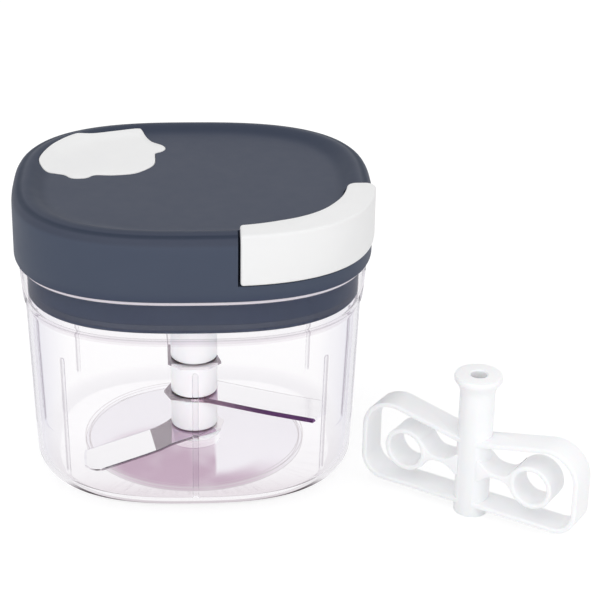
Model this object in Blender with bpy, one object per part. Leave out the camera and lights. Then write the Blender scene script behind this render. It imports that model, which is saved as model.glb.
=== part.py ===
"""Pull-cord food chopper: clear oval bowl, blade hub, lid with cord reel and pull handle, whisk.

Sizes are in millimetres and become metres where a mesh is made. +Z is up, +X is to the right along
the lid's longer side, and -Y faces the user. The origin is on the hub's axis, at the bowl's underside.
"""

import math

import bmesh
import bpy
from mathutils import Vector

MM = 0.001

# Running and seating clearances
GAP = 0.3
HANDLE_GAP = 0.8
CUT_PAST = 1.0
CORNER_CLEAR = 1.15

# Lid outline, an oval with rounded corners
LID_HALF_WIDTH = 60.0
LID_HALF_DEPTH = 54.6
LID_SQUARENESS = 2.72
OVAL_POINTS = 60

# Bowl
BOWL_SQUARENESS = 2.7
BOWL_FOOT_HALF_WIDTH = 54.6
BOWL_FOOT_HALF_DEPTH = 51.3
BOWL_TOP_HALF_WIDTH = 56.9
BOWL_TOP_HALF_DEPTH = 52.2
BOWL_BODY_TOP = 61.8
BOWL_FOOT_RADIUS = 7.3
BOWL_WALL = 1.6
BOWL_FLOOR = 2.2
FOOT_RECESS_RADIUS = 38.0
FOOT_RECESS_DEPTH = 0.6
FOOT_PAD_RADIUS = 9.0
FOOT_STEPS = 4
COLLAR_STEP_RISE = 1.8
COLLAR_HEIGHT = 14.0
COLLAR_FOOT_INSET = 2.2
COLLAR_RIM_INSET = 1.3
COLLAR_INNER_INSET = 3.3
RIM_EDGE = 0.5
RIB_WIDTH = 2.0
RIB_HEIGHT = 1.1
RIB_TOP = 51.0
RIB_SIDE_ANGLE = 41.0
RIB_TAPER = 0.8
RIB_SEAT = 0.55
RIB_STEPS = 3
PIVOT_BOSS_RADIUS = 5.5
PIVOT_BOSS_RISE = 0.7
PIN_RADIUS = 2.4
PIN_TOP = 50.0
PIN_SEAT_FLOOR = 0.9

# Lid cover
LID_HEIGHT = 22.4
LID_SHOULDER_RADIUS = 4.2
LID_CREST_INSET = 3.2
DISH_DEPTH = 2.4
DISH_INSET = 11.0
LID_WALL = 2.3
LID_ROOF = 2.1
POCKET_WALL = 2.0
INLAY_DEPTH = 0.7
INLAY_PROUD = 0.2
INLAY_RINGS = (0.35, 0.7, 1.0)

# The pale patch on the lid's top left, seen from above, its outer edge inside the crest
INLAY_OUTLINE = (
    (-51.8, 14.0), (-51.3, 20.5), (-47.5, 30.8), (-39.8, 40.2), (-27.5, 43.8), (-18.4, 46.0),
    (-13.7, 36.4), (-9.2, 30.3), (-12.8, 24.4), (-13.0, 14.5), (-19.4, 6.7), (-27.1, 4.8),
    (-33.3, 5.2), (-38.0, 2.2), (-43.4, 5.8), (-49.4, 8.6),
)

# Pull handle, let into the lid's front right corner
HANDLE_PROUD = 0.8
HANDLE_DEPTH = 9.5
HANDLE_ABOVE_EDGE = 5.8
HANDLE_ABOVE_CREST = 0.7
HANDLE_FRONT_END_X = 14.3
HANDLE_SIDE_END_Y = -10.2
HANDLE_STEPS = 16
HANDLE_EDGE = 0.8
HANDLE_CORNER_RADIUS = 3.2
PULL_AZIMUTH = -41.0

# Lid base
BASE_SKIRT_INSET = 3.6
BASE_SKIRT_WALL = 2.0
BASE_SKIRT_DEPTH = 12.2
BASE_PLATE = 3.4
BASE_FLANGE_HEIGHT = 2.1
SEAL_GROOVE_RISE = 1.4
SEAL_HEIGHT = 1.8
SEAL_DEPTH = 0.7
SCREW_X = 24.0
SCREW_Y = 33.0
SCREW_HEAD_RADIUS = 2.9
SCREW_HEAD_HEIGHT = 1.8
SCREW_SHANK_RADIUS = 1.4
SCREW_LENGTH = 10.0
POST_RADIUS = 3.5

# Cord drive
REEL_ABOVE_EDGE = 4.1
REEL_FLANGE = 1.3
REEL_FLANGE_RADIUS = 21.0
REEL_DRUM_RADIUS = 14.0
REEL_DRUM_HEIGHT = 7.0
REEL_DRUM_WALL = 1.8
WINDING_DEPTH = 2.7
CORD_RADIUS = 0.9
AXLE_RADIUS = 2.0
AXLE_BOSS_RADIUS = 5.0
SPRING_CAP_THICKNESS = 0.9
SPRING_STRIP = 0.5
SPRING_HEIGHT = 5.4
SPRING_TURNS = 5
SPRING_TURN_STEPS = 16
SHAFT_RADIUS = 5.4
SHAFT_FLANGE_RADIUS = 9.0
SHAFT_FLANGE = 1.8
BUSH_WALL = 2.0
BUSH_FLANGE_RADIUS = 9.6
BUSH_FLANGE = 1.4
DRIVE_HEX_FLAT_RADIUS = 3.9
DRIVE_HEX_ENGAGEMENT = 7.0
DRIVE_HEX_ABOVE_HUB = 1.2
EYELET_BORE = 1.3
EYELET_BARREL_RADIUS = 2.6
EYELET_FLANGE_RADIUS = 3.8
EYELET_FLANGE = 0.9
EYELET_SEAT_GAP = 0.8
KNOT_RADIUS = 2.2
KNOT_SEAT_DEPTH = 5.2

# Blade hub
HUB_RADIUS = 8.15
HUB_EDGE = 0.8
HUB_CORE_RADIUS = 4.0
HUB_FLANGE_RADIUS = 9.5
HUB_FLANGE = 1.7
HUB_LID_CLEARANCE = 3.4
HUB_SOCKET_DEPTH = 8.0
HUB_LEVEL_STEP = 13.1
BLADE_THICKNESS = 0.9
BLADE_TIP_CLEARANCE = 0.6
BLADE_LEADING = 6.5
BLADE_TRAILING = 9.0
BLADE_GRIND = 1.6
BLADE_ROOT_HALF_WIDTH = 9.3
BLADE_TAIL = 9.4
BLADE_TAIL_CORNER = 4.4
BLADE_JOGGLE = 0.8
BLADE_CRANK = 6.0
BLADE_ROOT_GRIND = 0.1
BLADE_AZIMUTHS = {"lower": 213.0, "middle": -22.0, "upper": 92.0}
BLADE_TIP_CUTS = {"lower": 4.5, "middle": 0.0, "upper": 3.0}
LOWER_BLADE_SHORTER = 1.2

# Whisk, standing beside the bowl
WHISK_BESIDE_LID = 31.7
WHISK_Y = -52.5
WHISK_TURN = -35.0
WHISK_HEIGHT = 50.8
WHISK_POST_RADIUS = 5.8
WHISK_FLANGE_RADIUS = 7.9
WHISK_FLANGE = 1.6
WHISK_REACH = 39.5
WHISK_RIBBON_DEPTH = 10.4
WHISK_RIBBON = 1.8
WHISK_LOOP_BOTTOM = 4.0
WHISK_LOOP_INNER_TOP = 27.8
WHISK_LOOP_OUTER_TOP = 36.5
WHISK_OUTER_TOP_RADIUS = 9.0
WHISK_OUTER_BOTTOM_RADIUS = 6.0
WHISK_RING_RADIUS = 7.6
WHISK_RING_REACH = 23.0
WHISK_RING_HEIGHT = 18.0

# Heights that follow from those above
COLLAR_STEP_TOP = BOWL_BODY_TOP + COLLAR_STEP_RISE
COLLAR_TOP = COLLAR_STEP_TOP + COLLAR_HEIGHT
LID_BOTTOM = COLLAR_TOP + GAP
LID_CREST = LID_BOTTOM + LID_HEIGHT
HANDLE_BOTTOM = LID_BOTTOM + HANDLE_ABOVE_EDGE
HANDLE_TOP = LID_CREST + HANDLE_ABOVE_CREST
BASE_BOTTOM = COLLAR_TOP - BASE_SKIRT_DEPTH
BASE_FLOOR = BASE_BOTTOM + BASE_PLATE
BASE_TOP = LID_BOTTOM + BASE_FLANGE_HEIGHT
BASE_FLANGE_INSET = LID_WALL + GAP
SEAL_BOTTOM = BASE_BOTTOM + SEAL_GROOVE_RISE
DISH_FLOOR = LID_CREST - DISH_DEPTH
ROOF_UNDERSIDE = DISH_FLOOR - LID_ROOF
BOSS_TOP = BOWL_FLOOR + PIVOT_BOSS_RISE
REEL_BOTTOM = LID_BOTTOM + REEL_ABOVE_EDGE
REEL_DRUM_BOTTOM = REEL_BOTTOM + REEL_FLANGE
REEL_DRUM_TOP = REEL_DRUM_BOTTOM + REEL_DRUM_HEIGHT
REEL_TOP = REEL_DRUM_TOP + REEL_FLANGE
CHAMBER_RADIUS = REEL_DRUM_RADIUS - REEL_DRUM_WALL
CHAMBER_FLOOR = REEL_DRUM_BOTTOM + REEL_FLANGE
WINDING_RADIUS = REEL_DRUM_RADIUS + GAP + WINDING_DEPTH
CORD_HEIGHT = (REEL_DRUM_BOTTOM + REEL_DRUM_TOP) / 2
SPRING_CAP_BOTTOM = REEL_TOP + GAP
AXLE_BOSS_BOTTOM = SPRING_CAP_BOTTOM + SPRING_CAP_THICKNESS + GAP
AXLE_BOTTOM = CHAMBER_FLOOR - REEL_FLANGE / 2
AXLE_TOP = ROOF_UNDERSIDE + LID_ROOF / 4
POST_BOTTOM = BASE_FLOOR + GAP
HUB_BOTTOM = BOSS_TOP + GAP
HUB_LEVEL_LOW = HUB_BOTTOM + HUB_FLANGE + GAP
PIN_BOTTOM = PIN_SEAT_FLOOR + GAP
HUB_CORE_TOP = PIN_TOP + HUB_FLANGE
HUB_TOP = BASE_BOTTOM - HUB_LID_CLEARANCE
DRIVE_HEX_BOTTOM = HUB_TOP - DRIVE_HEX_ENGAGEMENT
DRIVE_HEX_TOP = HUB_TOP + DRIVE_HEX_ABOVE_HUB
SCREW_SHANK_TOP = BASE_BOTTOM + SCREW_LENGTH

# Reach and place that follow: the blades clear the ribs on the bowl's nearer sides
BLADE_TIP_RADIUS = BOWL_FOOT_HALF_DEPTH - BOWL_WALL - RIB_HEIGHT - BLADE_TIP_CLEARANCE
WHISK_X = LID_HALF_WIDTH + WHISK_BESIDE_LID


def clear_scene():
    for obj in list(bpy.data.objects):
        bpy.data.objects.remove(obj)


def make_material(name, colour, roughness, metallic=0.0, alpha=1.0):
    material = bpy.data.materials.new(name)
    material.use_nodes = True
    shader = material.node_tree.nodes["Principled BSDF"]
    shader.inputs["Base Color"].default_value = (*colour, 1.0)
    shader.inputs["Roughness"].default_value = roughness
    shader.inputs["Metallic"].default_value = metallic
    shader.inputs["Alpha"].default_value = alpha
    material.diffuse_color = (*colour, alpha)
    return material


def make_materials():
    return {
        "navy": make_material("navy_plastic", (0.085, 0.1, 0.135), 0.45),
        "clear": make_material("clear_plastic", (0.94, 0.92, 0.95), 0.05, alpha=0.35),
        "pale": make_material("pale_plastic", (0.85, 0.85, 0.85), 0.4),
        "white": make_material("white_plastic", (0.88, 0.88, 0.9), 0.35),
        "steel": make_material("blade_steel", (0.75, 0.75, 0.77), 0.2, metallic=1.0),
        "spring": make_material("spring_steel", (0.4, 0.42, 0.45), 0.35, metallic=1.0),
        "rubber": make_material("seal_silicone", (0.12, 0.13, 0.17), 0.6),
        "cord": make_material("nylon_cord", (0.8, 0.8, 0.8), 0.7),
    }


def new_object(name, bm, material=None, origin=(0.0, 0.0, 0.0)):
    """Turn a bmesh in millimetres into an object in metres, with its origin where it is wanted."""
    bmesh.ops.remove_doubles(bm, verts=bm.verts, dist=1e-5)
    bmesh.ops.recalc_face_normals(bm, faces=bm.faces)
    shift = Vector(origin)
    for vert in bm.verts:
        vert.co = (vert.co - shift) * MM
    mesh = bpy.data.meshes.new(name)
    bm.to_mesh(mesh)
    bm.free()
    mesh.shade_smooth()
    mesh.set_sharp_from_angle(angle=math.radians(30.0))
    obj = bpy.data.objects.new(name, mesh)
    obj.location = shift * MM
    if material is not None:
        mesh.materials.append(material)
    bpy.context.scene.collection.objects.link(obj)
    return obj


def new_helper(name, bm):
    """A shape that only cuts or joins another one."""
    obj = new_object(name, bm)
    obj.hide_render = True
    obj.display_type = "WIRE"
    return obj


def combine(obj, helper, operation):
    modifier = obj.modifiers.new(helper.name, "BOOLEAN")
    modifier.object = helper
    modifier.operation = operation
    modifier.solver = "EXACT"


def oval_radius(angle, half_width, half_depth, squareness):
    """Distance from the axis to the oval in the direction of the angle."""
    across = abs(math.cos(angle) / half_width) ** squareness
    along = abs(math.sin(angle) / half_depth) ** squareness
    return (across + along) ** (-1.0 / squareness)


def ring(half_width, half_depth, squareness, z, points=OVAL_POINTS, centre=(0.0, 0.0)):
    result = []
    for index in range(points):
        angle = 2.0 * math.pi * index / points
        radius = oval_radius(angle, half_width, half_depth, squareness)
        x = centre[0] + radius * math.cos(angle)
        y = centre[1] + radius * math.sin(angle)
        result.append(Vector((x, y, z)))
    return result


def lid_ring(inset, z):
    return ring(LID_HALF_WIDTH - inset, LID_HALF_DEPTH - inset, LID_SQUARENESS, z)


def bowl_halves(inset, z):
    """Half width and half depth of the bowl at a height, with its draft, drawn in by the inset."""
    share = min(z / BOWL_BODY_TOP, 1.0)
    half_width = BOWL_FOOT_HALF_WIDTH + share * (BOWL_TOP_HALF_WIDTH - BOWL_FOOT_HALF_WIDTH)
    half_depth = BOWL_FOOT_HALF_DEPTH + share * (BOWL_TOP_HALF_DEPTH - BOWL_FOOT_HALF_DEPTH)
    return half_width - inset, half_depth - inset


def bowl_ring(inset, z):
    return ring(*bowl_halves(inset, z), BOWL_SQUARENESS, z)


def bowl_reach(angle, inset, z):
    return oval_radius(angle, *bowl_halves(inset, z), BOWL_SQUARENESS)


def round_ring(radius, z, points=OVAL_POINTS, centre=(0.0, 0.0)):
    return ring(radius, radius, 2.0, z, points, centre)


def hex_ring(flat_radius, z, points=24):
    """A hexagon given by the distance to its flats, with points along each side."""
    result = []
    for index in range(points):
        angle = 2.0 * math.pi * index / points
        local = (angle + math.pi / 6) % (math.pi / 3) - math.pi / 6
        radius = flat_radius / math.cos(local)
        result.append(Vector((radius * math.cos(angle), radius * math.sin(angle), z)))
    return result


def loft(rings, closed=False):
    """Skin rings of equal count in turn. Ends are capped, or the last ring joins the first."""
    bm = bmesh.new()
    loops = [[bm.verts.new(point) for point in points] for points in rings]
    pairs = list(zip(loops, loops[1:]))
    if closed:
        pairs.append((loops[-1], loops[0]))
    for lower, upper in pairs:
        count = len(lower)
        for index in range(count):
            following = (index + 1) % count
            bm.faces.new((lower[index], lower[following], upper[following], upper[index]))
    if not closed:
        bm.faces.new(loops[0][::-1])
        bm.faces.new(loops[-1])
    return bm


def turned(profile, segments, centre=(0.0, 0.0)):
    """Turn a closed outline of (radius, height) about a vertical axis."""
    bm = bmesh.new()
    loops = []
    for radius, z in profile:
        if radius == 0.0:
            loops.append([bm.verts.new((centre[0], centre[1], z))] * segments)
        else:
            loops.append([bm.verts.new(point) for point in round_ring(radius, z, segments, centre)])
    for lower, upper in zip(loops, loops[1:] + loops[:1]):
        if lower[0] is lower[1] and upper[0] is upper[1]:
            continue
        for index in range(segments):
            following = (index + 1) % segments
            corners = [lower[index], lower[following], upper[following], upper[index]]
            bm.faces.new(list(dict.fromkeys(corners)))
    return bm


def prism(outline, bottom, top):
    lower = [Vector((x, y, bottom)) for x, y in outline]
    upper = [Vector((x, y, top)) for x, y in outline]
    return loft([lower, upper])


def merge(parts):
    """Put several bmeshes into one, for a helper made of shapes that don't touch."""
    joined = bmesh.new()
    for part in parts:
        copies = {vert: joined.verts.new(vert.co) for vert in part.verts}
        for face in part.faces:
            joined.faces.new([copies[vert] for vert in face.verts])
        part.free()
    return joined


def cylinder_along(start, end, radius, segments=16):
    return rod_along(start, end, [(radius, 0.0), (radius, 1.0)], segments)


def rod_along(start, end, stations, segments=16):
    """Rings of (radius, share of the way) across the line from start to end."""
    start = Vector(start)
    end = Vector(end)
    axis = (end - start).normalized()
    side = axis.cross(Vector((0.0, 0.0, 1.0))).normalized()
    up = side.cross(axis)
    rings = []
    for radius, share in stations:
        middle = start.lerp(end, share)
        points = []
        for index in range(segments):
            angle = 2.0 * math.pi * index / segments
            points.append(middle + radius * (math.cos(angle) * side + math.sin(angle) * up))
        rings.append(points)
    return loft(rings)


def pull_point(distance, z=CORD_HEIGHT):
    """A point on the line along which the handle is pulled."""
    angle = math.radians(PULL_AZIMUTH)
    return Vector((distance * math.cos(angle), distance * math.sin(angle), z))


def lid_reach(inset):
    """Distance from the axis to the inset lid outline, along the pull line."""
    angle = math.radians(PULL_AZIMUTH)
    return oval_radius(angle, LID_HALF_WIDTH - inset, LID_HALF_DEPTH - inset, LID_SQUARENESS)


def corner_arc(inset, front_end_x, side_end_y, steps=HANDLE_STEPS):
    """Points round the lid's front right corner, between a plane across X and one across Y."""
    half_width = LID_HALF_WIDTH - inset
    half_depth = LID_HALF_DEPTH - inset
    front_y = half_depth * (1.0 - (front_end_x / half_width) ** LID_SQUARENESS) ** (1.0 / LID_SQUARENESS)
    side_x = half_width * (1.0 - (-side_end_y / half_depth) ** LID_SQUARENESS) ** (1.0 / LID_SQUARENESS)
    first = math.atan2(-front_y, front_end_x)
    last = math.atan2(side_end_y, side_x)
    points = []
    for index in range(steps + 1):
        angle = first + (last - first) * index / steps
        radius = oval_radius(angle, half_width, half_depth, LID_SQUARENESS)
        points.append((radius * math.cos(angle), radius * math.sin(angle)))
    return points


def corner_block(outer_inset, inner_inset, grow, bottom, top):
    """A curved block round the lid's front right corner, its ends moved out by grow.

    The end at the side is round in plan.
    """
    front_end_x = HANDLE_FRONT_END_X - grow
    side_end_y = HANDLE_SIDE_END_Y + grow
    radius = HANDLE_CORNER_RADIUS + grow
    outer = corner_arc(outer_inset, front_end_x, side_end_y)
    inner = corner_arc(inner_inset, front_end_x, side_end_y)
    corners = clear_of_corner(outer, radius) + [(*outer[-1], radius), (*inner[-1], radius)]
    return prism(rounded_path(corners + clear_of_corner(inner, radius)[::-1]), bottom, top)


def clear_of_corner(arc, radius):
    """The arc's points, as sharp corners, that the rounding of its last one doesn't reach."""
    end = Vector(arc[-1])
    return [(x, y, 0.0) for x, y in arc if (Vector((x, y)) - end).length > radius * CORNER_CLEAR]


def foot_profile(wall, bottom, steps):
    """(inset, height) round the foot radius from the bottom up, outside or on the wall's inner face."""
    profile = []
    for index in range(steps + 1):
        angle = math.radians(90.0) * index / steps
        inset = wall + (BOWL_FOOT_RADIUS - wall) * (1.0 - math.sin(angle))
        z = bottom + (BOWL_FOOT_RADIUS - bottom) * (1.0 - math.cos(angle))
        profile.append((inset, z))
    return profile


def make_bowl(materials):
    rings = [round_ring(FOOT_PAD_RADIUS, 0.0)]
    rings.append(round_ring(FOOT_PAD_RADIUS + FOOT_RECESS_DEPTH, FOOT_RECESS_DEPTH))
    rings.append(round_ring(FOOT_RECESS_RADIUS - FOOT_RECESS_DEPTH, FOOT_RECESS_DEPTH))
    rings.append(round_ring(FOOT_RECESS_RADIUS, 0.0))
    rings += [bowl_ring(inset, z) for inset, z in foot_profile(0.0, 0.0, FOOT_STEPS)]
    rings.append(bowl_ring(0.0, BOWL_BODY_TOP))
    rings.append(lid_ring(COLLAR_FOOT_INSET, COLLAR_STEP_TOP))
    rings.append(lid_ring(COLLAR_RIM_INSET, COLLAR_TOP - RIM_EDGE))
    rings.append(lid_ring(COLLAR_RIM_INSET + RIM_EDGE, COLLAR_TOP))
    rings.append(lid_ring(COLLAR_INNER_INSET, COLLAR_TOP))
    rings.append(lid_ring(COLLAR_INNER_INSET, COLLAR_STEP_TOP + BOWL_WALL / 2))
    rings.append(bowl_ring(BOWL_WALL, BOWL_BODY_TOP + BOWL_WALL / 2))
    rings += [bowl_ring(inset, z) for inset, z in foot_profile(BOWL_WALL, BOWL_FLOOR, RIB_STEPS)[::-1]]
    rings.append(round_ring(PIVOT_BOSS_RADIUS + PIVOT_BOSS_RISE, BOWL_FLOOR))
    rings.append(round_ring(PIVOT_BOSS_RADIUS, BOSS_TOP))
    rings.append(round_ring(PIN_RADIUS + GAP, BOSS_TOP))
    rings.append(round_ring(PIN_RADIUS + GAP, PIN_SEAT_FLOOR))
    bowl = new_object("bowl", loft(rings), materials["clear"])
    combine(bowl, new_helper("bowl_ribs", merge([make_rib(a) for a in rib_angles()])), "UNION")
    return bowl


def rib_angles():
    """Front, back and both sides, and one near each corner."""
    square = [0.0, 90.0, 180.0, 270.0]
    corners = [RIB_SIDE_ANGLE, 180.0 - RIB_SIDE_ANGLE, 180.0 + RIB_SIDE_ANGLE, -RIB_SIDE_ANGLE]
    return [math.radians(angle) for angle in square + corners]


def make_rib(angle):
    """One upright rib on the bowl's inner wall, from the floor's edge to a sloped top."""
    outward = Vector((math.cos(angle), math.sin(angle), 0.0))
    sideways = Vector((-math.sin(angle), math.cos(angle), 0.0)) * RIB_WIDTH / 2
    stations = [(BOWL_FLOOR - RIB_SEAT, BOWL_FOOT_RADIUS, RIB_HEIGHT)]
    stations += [(z, inset, RIB_HEIGHT) for inset, z in foot_profile(BOWL_WALL, BOWL_FLOOR, RIB_STEPS)]
    stations.append((RIB_TOP - RIB_HEIGHT, BOWL_WALL, RIB_HEIGHT))
    stations.append((RIB_TOP, BOWL_WALL, 0.0))
    rings = []
    for z, wall_inset, height in stations:
        outer = bowl_reach(angle, wall_inset / 2, z)
        inner = bowl_reach(angle, wall_inset + height, z)
        corners = [outward * outer - sideways, outward * outer + sideways]
        corners += [outward * inner + sideways * RIB_TAPER, outward * inner - sideways * RIB_TAPER]
        rings.append([corner + Vector((0.0, 0.0, z)) for corner in corners])
    return loft(rings)


def make_pivot_pin(materials):
    tip = PIN_RADIUS / 3
    profile = [(0.0, PIN_BOTTOM), (PIN_RADIUS, PIN_BOTTOM), (PIN_RADIUS, PIN_TOP - tip)]
    profile += [(PIN_RADIUS - tip, PIN_TOP), (0.0, PIN_TOP)]
    return new_object("bowl_pivot_pin", turned(profile, 20), materials["steel"])


def lid_profile():
    """(inset, height) from the lid's bottom edge, over the shoulder and crest, into the dish."""
    rise = LID_CREST - LID_SHOULDER_RADIUS
    profile = [(0.0, LID_BOTTOM), (0.0, rise)]
    for angle in (25.0, 50.0, 70.0):
        turn = math.radians(angle)
        inset = LID_CREST_INSET * (1.0 - math.cos(turn))
        profile.append((inset, rise + LID_SHOULDER_RADIUS * math.sin(turn)))
    profile.append((LID_CREST_INSET, LID_CREST))
    profile.append(((LID_CREST_INSET + DISH_INSET) / 2, LID_CREST - DISH_DEPTH / 2))
    profile.append((DISH_INSET, DISH_FLOOR))
    return profile


def lid_surface_height(x, y):
    """Height of the lid's top above a point, read from its profile."""
    low = 0.0
    high = LID_HALF_DEPTH - CUT_PAST
    for _ in range(40):
        middle = (low + high) / 2
        across = abs(x / (LID_HALF_WIDTH - middle)) ** LID_SQUARENESS
        along = abs(y / (LID_HALF_DEPTH - middle)) ** LID_SQUARENESS
        if across + along > 1.0:
            high = middle
        else:
            low = middle
    profile = lid_profile()[1:]
    for (inset, z), (next_inset, next_z) in zip(profile, profile[1:]):
        if low <= next_inset and next_inset > inset:
            return z + (next_z - z) * max(low - inset, 0.0) / (next_inset - inset)
    return DISH_FLOOR


def inlay_solid(grow, below, above):
    """The patch's outline as a plate that follows the lid's top, from below to above its surface.

    The patch and its recess split their faces along like diagonals, which keeps them clear all over.
    """
    centre_x = sum(x for x, _ in INLAY_OUTLINE) / len(INLAY_OUTLINE)
    centre_y = sum(y for _, y in INLAY_OUTLINE) / len(INLAY_OUTLINE)
    rings = []
    for shares, lift in ((INLAY_RINGS, -below), (INLAY_RINGS[::-1], above)):
        for share in shares:
            points = []
            for x, y in INLAY_OUTLINE:
                away = Vector((x - centre_x, y - centre_y))
                reach = away * share + away.normalized() * grow * share
                point = Vector((centre_x, centre_y)) + reach
                height = lid_surface_height(point.x, point.y) + lift
                points.append(Vector((point.x, point.y, height)))
            rings.append(points)
    bm = loft(rings)
    bmesh.ops.triangulate(bm, faces=bm.faces, quad_method="FIXED")
    return bm


def screw_places():
    return [(x, y) for x in (-SCREW_X, SCREW_X) for y in (-SCREW_Y, SCREW_Y)]


def make_lid_cover(materials):
    skin = loft([lid_ring(inset, z) for inset, z in lid_profile()])
    shell = new_object("lid_cover", skin, materials["navy"])
    cavity = [lid_ring(LID_WALL, LID_BOTTOM - CUT_PAST), lid_ring(LID_WALL, ROOF_UNDERSIDE - LID_WALL)]
    cavity.append(lid_ring(2 * LID_WALL, ROOF_UNDERSIDE))
    hollow = new_helper("cover_hollow", loft(cavity))
    pocket_inner = HANDLE_DEPTH + HANDLE_GAP
    pocket_floor = HANDLE_BOTTOM - HANDLE_GAP / 2
    above = LID_CREST + POCKET_WALL
    kept = corner_block(-POCKET_WALL, pocket_inner + POCKET_WALL, HANDLE_GAP + POCKET_WALL,
                        pocket_floor - POCKET_WALL, above)
    combine(hollow, new_helper("pocket_walls", kept), "DIFFERENCE")
    combine(shell, hollow, "DIFFERENCE")
    posts = [turned_cylinder(POST_RADIUS, POST_BOTTOM, ROOF_UNDERSIDE + LID_ROOF / 2, place)
             for place in screw_places()]
    posts.append(turned_cylinder(AXLE_BOSS_RADIUS, AXLE_BOSS_BOTTOM, ROOF_UNDERSIDE + LID_ROOF / 2))
    combine(shell, new_helper("cover_posts", merge(posts)), "UNION")
    pocket = corner_block(-POCKET_WALL, pocket_inner, HANDLE_GAP, pocket_floor, above)
    combine(shell, new_helper("handle_pocket", pocket), "DIFFERENCE")
    screw_bore = SCREW_SHANK_RADIUS + GAP
    holes = [turned_cylinder(screw_bore, POST_BOTTOM - CUT_PAST, SCREW_SHANK_TOP + CUT_PAST, place, 12)
             for place in screw_places()]
    holes.append(turned_cylinder(AXLE_RADIUS + GAP, AXLE_BOSS_BOTTOM - CUT_PAST, AXLE_TOP + GAP,
                                 segments=20))
    holes.append(cylinder_along(pull_point(lid_reach(pocket_inner) - 2 * POCKET_WALL),
                                pull_point(lid_reach(pocket_inner) + POCKET_WALL),
                                EYELET_BARREL_RADIUS + GAP))
    combine(shell, new_helper("cover_holes", merge(holes)), "DIFFERENCE")
    combine(shell, new_helper("inlay_recess", inlay_solid(GAP, INLAY_DEPTH + GAP, LID_WALL)), "DIFFERENCE")
    return shell


def turned_cylinder(radius, bottom, top, centre=(0.0, 0.0), segments=16):
    return turned([(0.0, bottom), (radius, bottom), (radius, top), (0.0, top)], segments, centre)


def make_lid_inlay(materials):
    return new_object("lid_inlay", inlay_solid(0.0, INLAY_DEPTH, INLAY_PROUD), materials["pale"])


def make_lid_base(materials):
    groove = BASE_SKIRT_INSET + SEAL_DEPTH + GAP
    seal_top = SEAL_BOTTOM + SEAL_HEIGHT
    rings = [lid_ring(BASE_SKIRT_INSET + RIM_EDGE, BASE_BOTTOM)]
    rings.append(lid_ring(BASE_SKIRT_INSET, BASE_BOTTOM + RIM_EDGE))
    rings.append(lid_ring(BASE_SKIRT_INSET, SEAL_BOTTOM - GAP))
    rings.append(lid_ring(groove, SEAL_BOTTOM - GAP))
    rings.append(lid_ring(groove, seal_top + GAP))
    rings.append(lid_ring(BASE_SKIRT_INSET, seal_top + GAP))
    rings.append(lid_ring(BASE_SKIRT_INSET, LID_BOTTOM))
    rings.append(lid_ring(BASE_FLANGE_INSET, LID_BOTTOM))
    rings.append(lid_ring(BASE_FLANGE_INSET, BASE_TOP))
    rings.append(lid_ring(BASE_SKIRT_INSET + BASE_SKIRT_WALL, BASE_TOP))
    rings.append(lid_ring(BASE_SKIRT_INSET + BASE_SKIRT_WALL, BASE_FLOOR))
    base = new_object("lid_base", loft(rings), materials["navy"])
    bush_hole = SHAFT_RADIUS + GAP + BUSH_WALL + GAP
    cuts = [turned_cylinder(bush_hole, BASE_BOTTOM - CUT_PAST, BASE_FLOOR + CUT_PAST, segments=32)]
    for place in screw_places():
        recess_top = BASE_BOTTOM + SCREW_HEAD_HEIGHT + 2 * GAP
        profile = [(0.0, BASE_BOTTOM - CUT_PAST), (SCREW_HEAD_RADIUS + GAP, BASE_BOTTOM - CUT_PAST)]
        profile += [(SCREW_HEAD_RADIUS + GAP, recess_top), (SCREW_SHANK_RADIUS + GAP, recess_top)]
        profile += [(SCREW_SHANK_RADIUS + GAP, BASE_FLOOR + CUT_PAST), (0.0, BASE_FLOOR + CUT_PAST)]
        cuts.append(turned(profile, 16, place))
    combine(base, new_helper("base_holes", merge(cuts)), "DIFFERENCE")
    return base


def make_seal_ring(materials):
    inner = BASE_SKIRT_INSET + SEAL_DEPTH
    seal_top = SEAL_BOTTOM + SEAL_HEIGHT
    rings = [lid_ring(BASE_SKIRT_INSET, SEAL_BOTTOM), lid_ring(BASE_SKIRT_INSET, seal_top)]
    rings += [lid_ring(inner, seal_top), lid_ring(inner, SEAL_BOTTOM)]
    return new_object("seal_ring", loft(rings, closed=True), materials["rubber"])


def make_shaft_bush(materials):
    bore = SHAFT_RADIUS + GAP
    barrel = bore + BUSH_WALL
    flange_bottom = BASE_FLOOR + GAP
    flange_top = flange_bottom + BUSH_FLANGE
    profile = [(bore, BASE_BOTTOM), (barrel, BASE_BOTTOM), (barrel, flange_bottom)]
    profile += [(BUSH_FLANGE_RADIUS, flange_bottom), (BUSH_FLANGE_RADIUS, flange_top), (bore, flange_top)]
    return new_object("shaft_bush", turned(profile, 32), materials["white"])


def make_lid_screws(materials):
    head_bottom = BASE_BOTTOM + GAP
    head_top = head_bottom + SCREW_HEAD_HEIGHT
    profile = [(0.0, head_bottom), (SCREW_HEAD_RADIUS - RIM_EDGE, head_bottom)]
    profile += [(SCREW_HEAD_RADIUS, head_bottom + RIM_EDGE), (SCREW_HEAD_RADIUS, head_top)]
    profile += [(SCREW_SHANK_RADIUS, head_top), (SCREW_SHANK_RADIUS, SCREW_SHANK_TOP)]
    profile.append((0.0, SCREW_SHANK_TOP))
    for number, place in enumerate(screw_places(), start=1):
        name = "lid_screw_%d" % number
        new_object(name, turned(profile, 12, place), materials["steel"], (*place, head_bottom))


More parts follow.
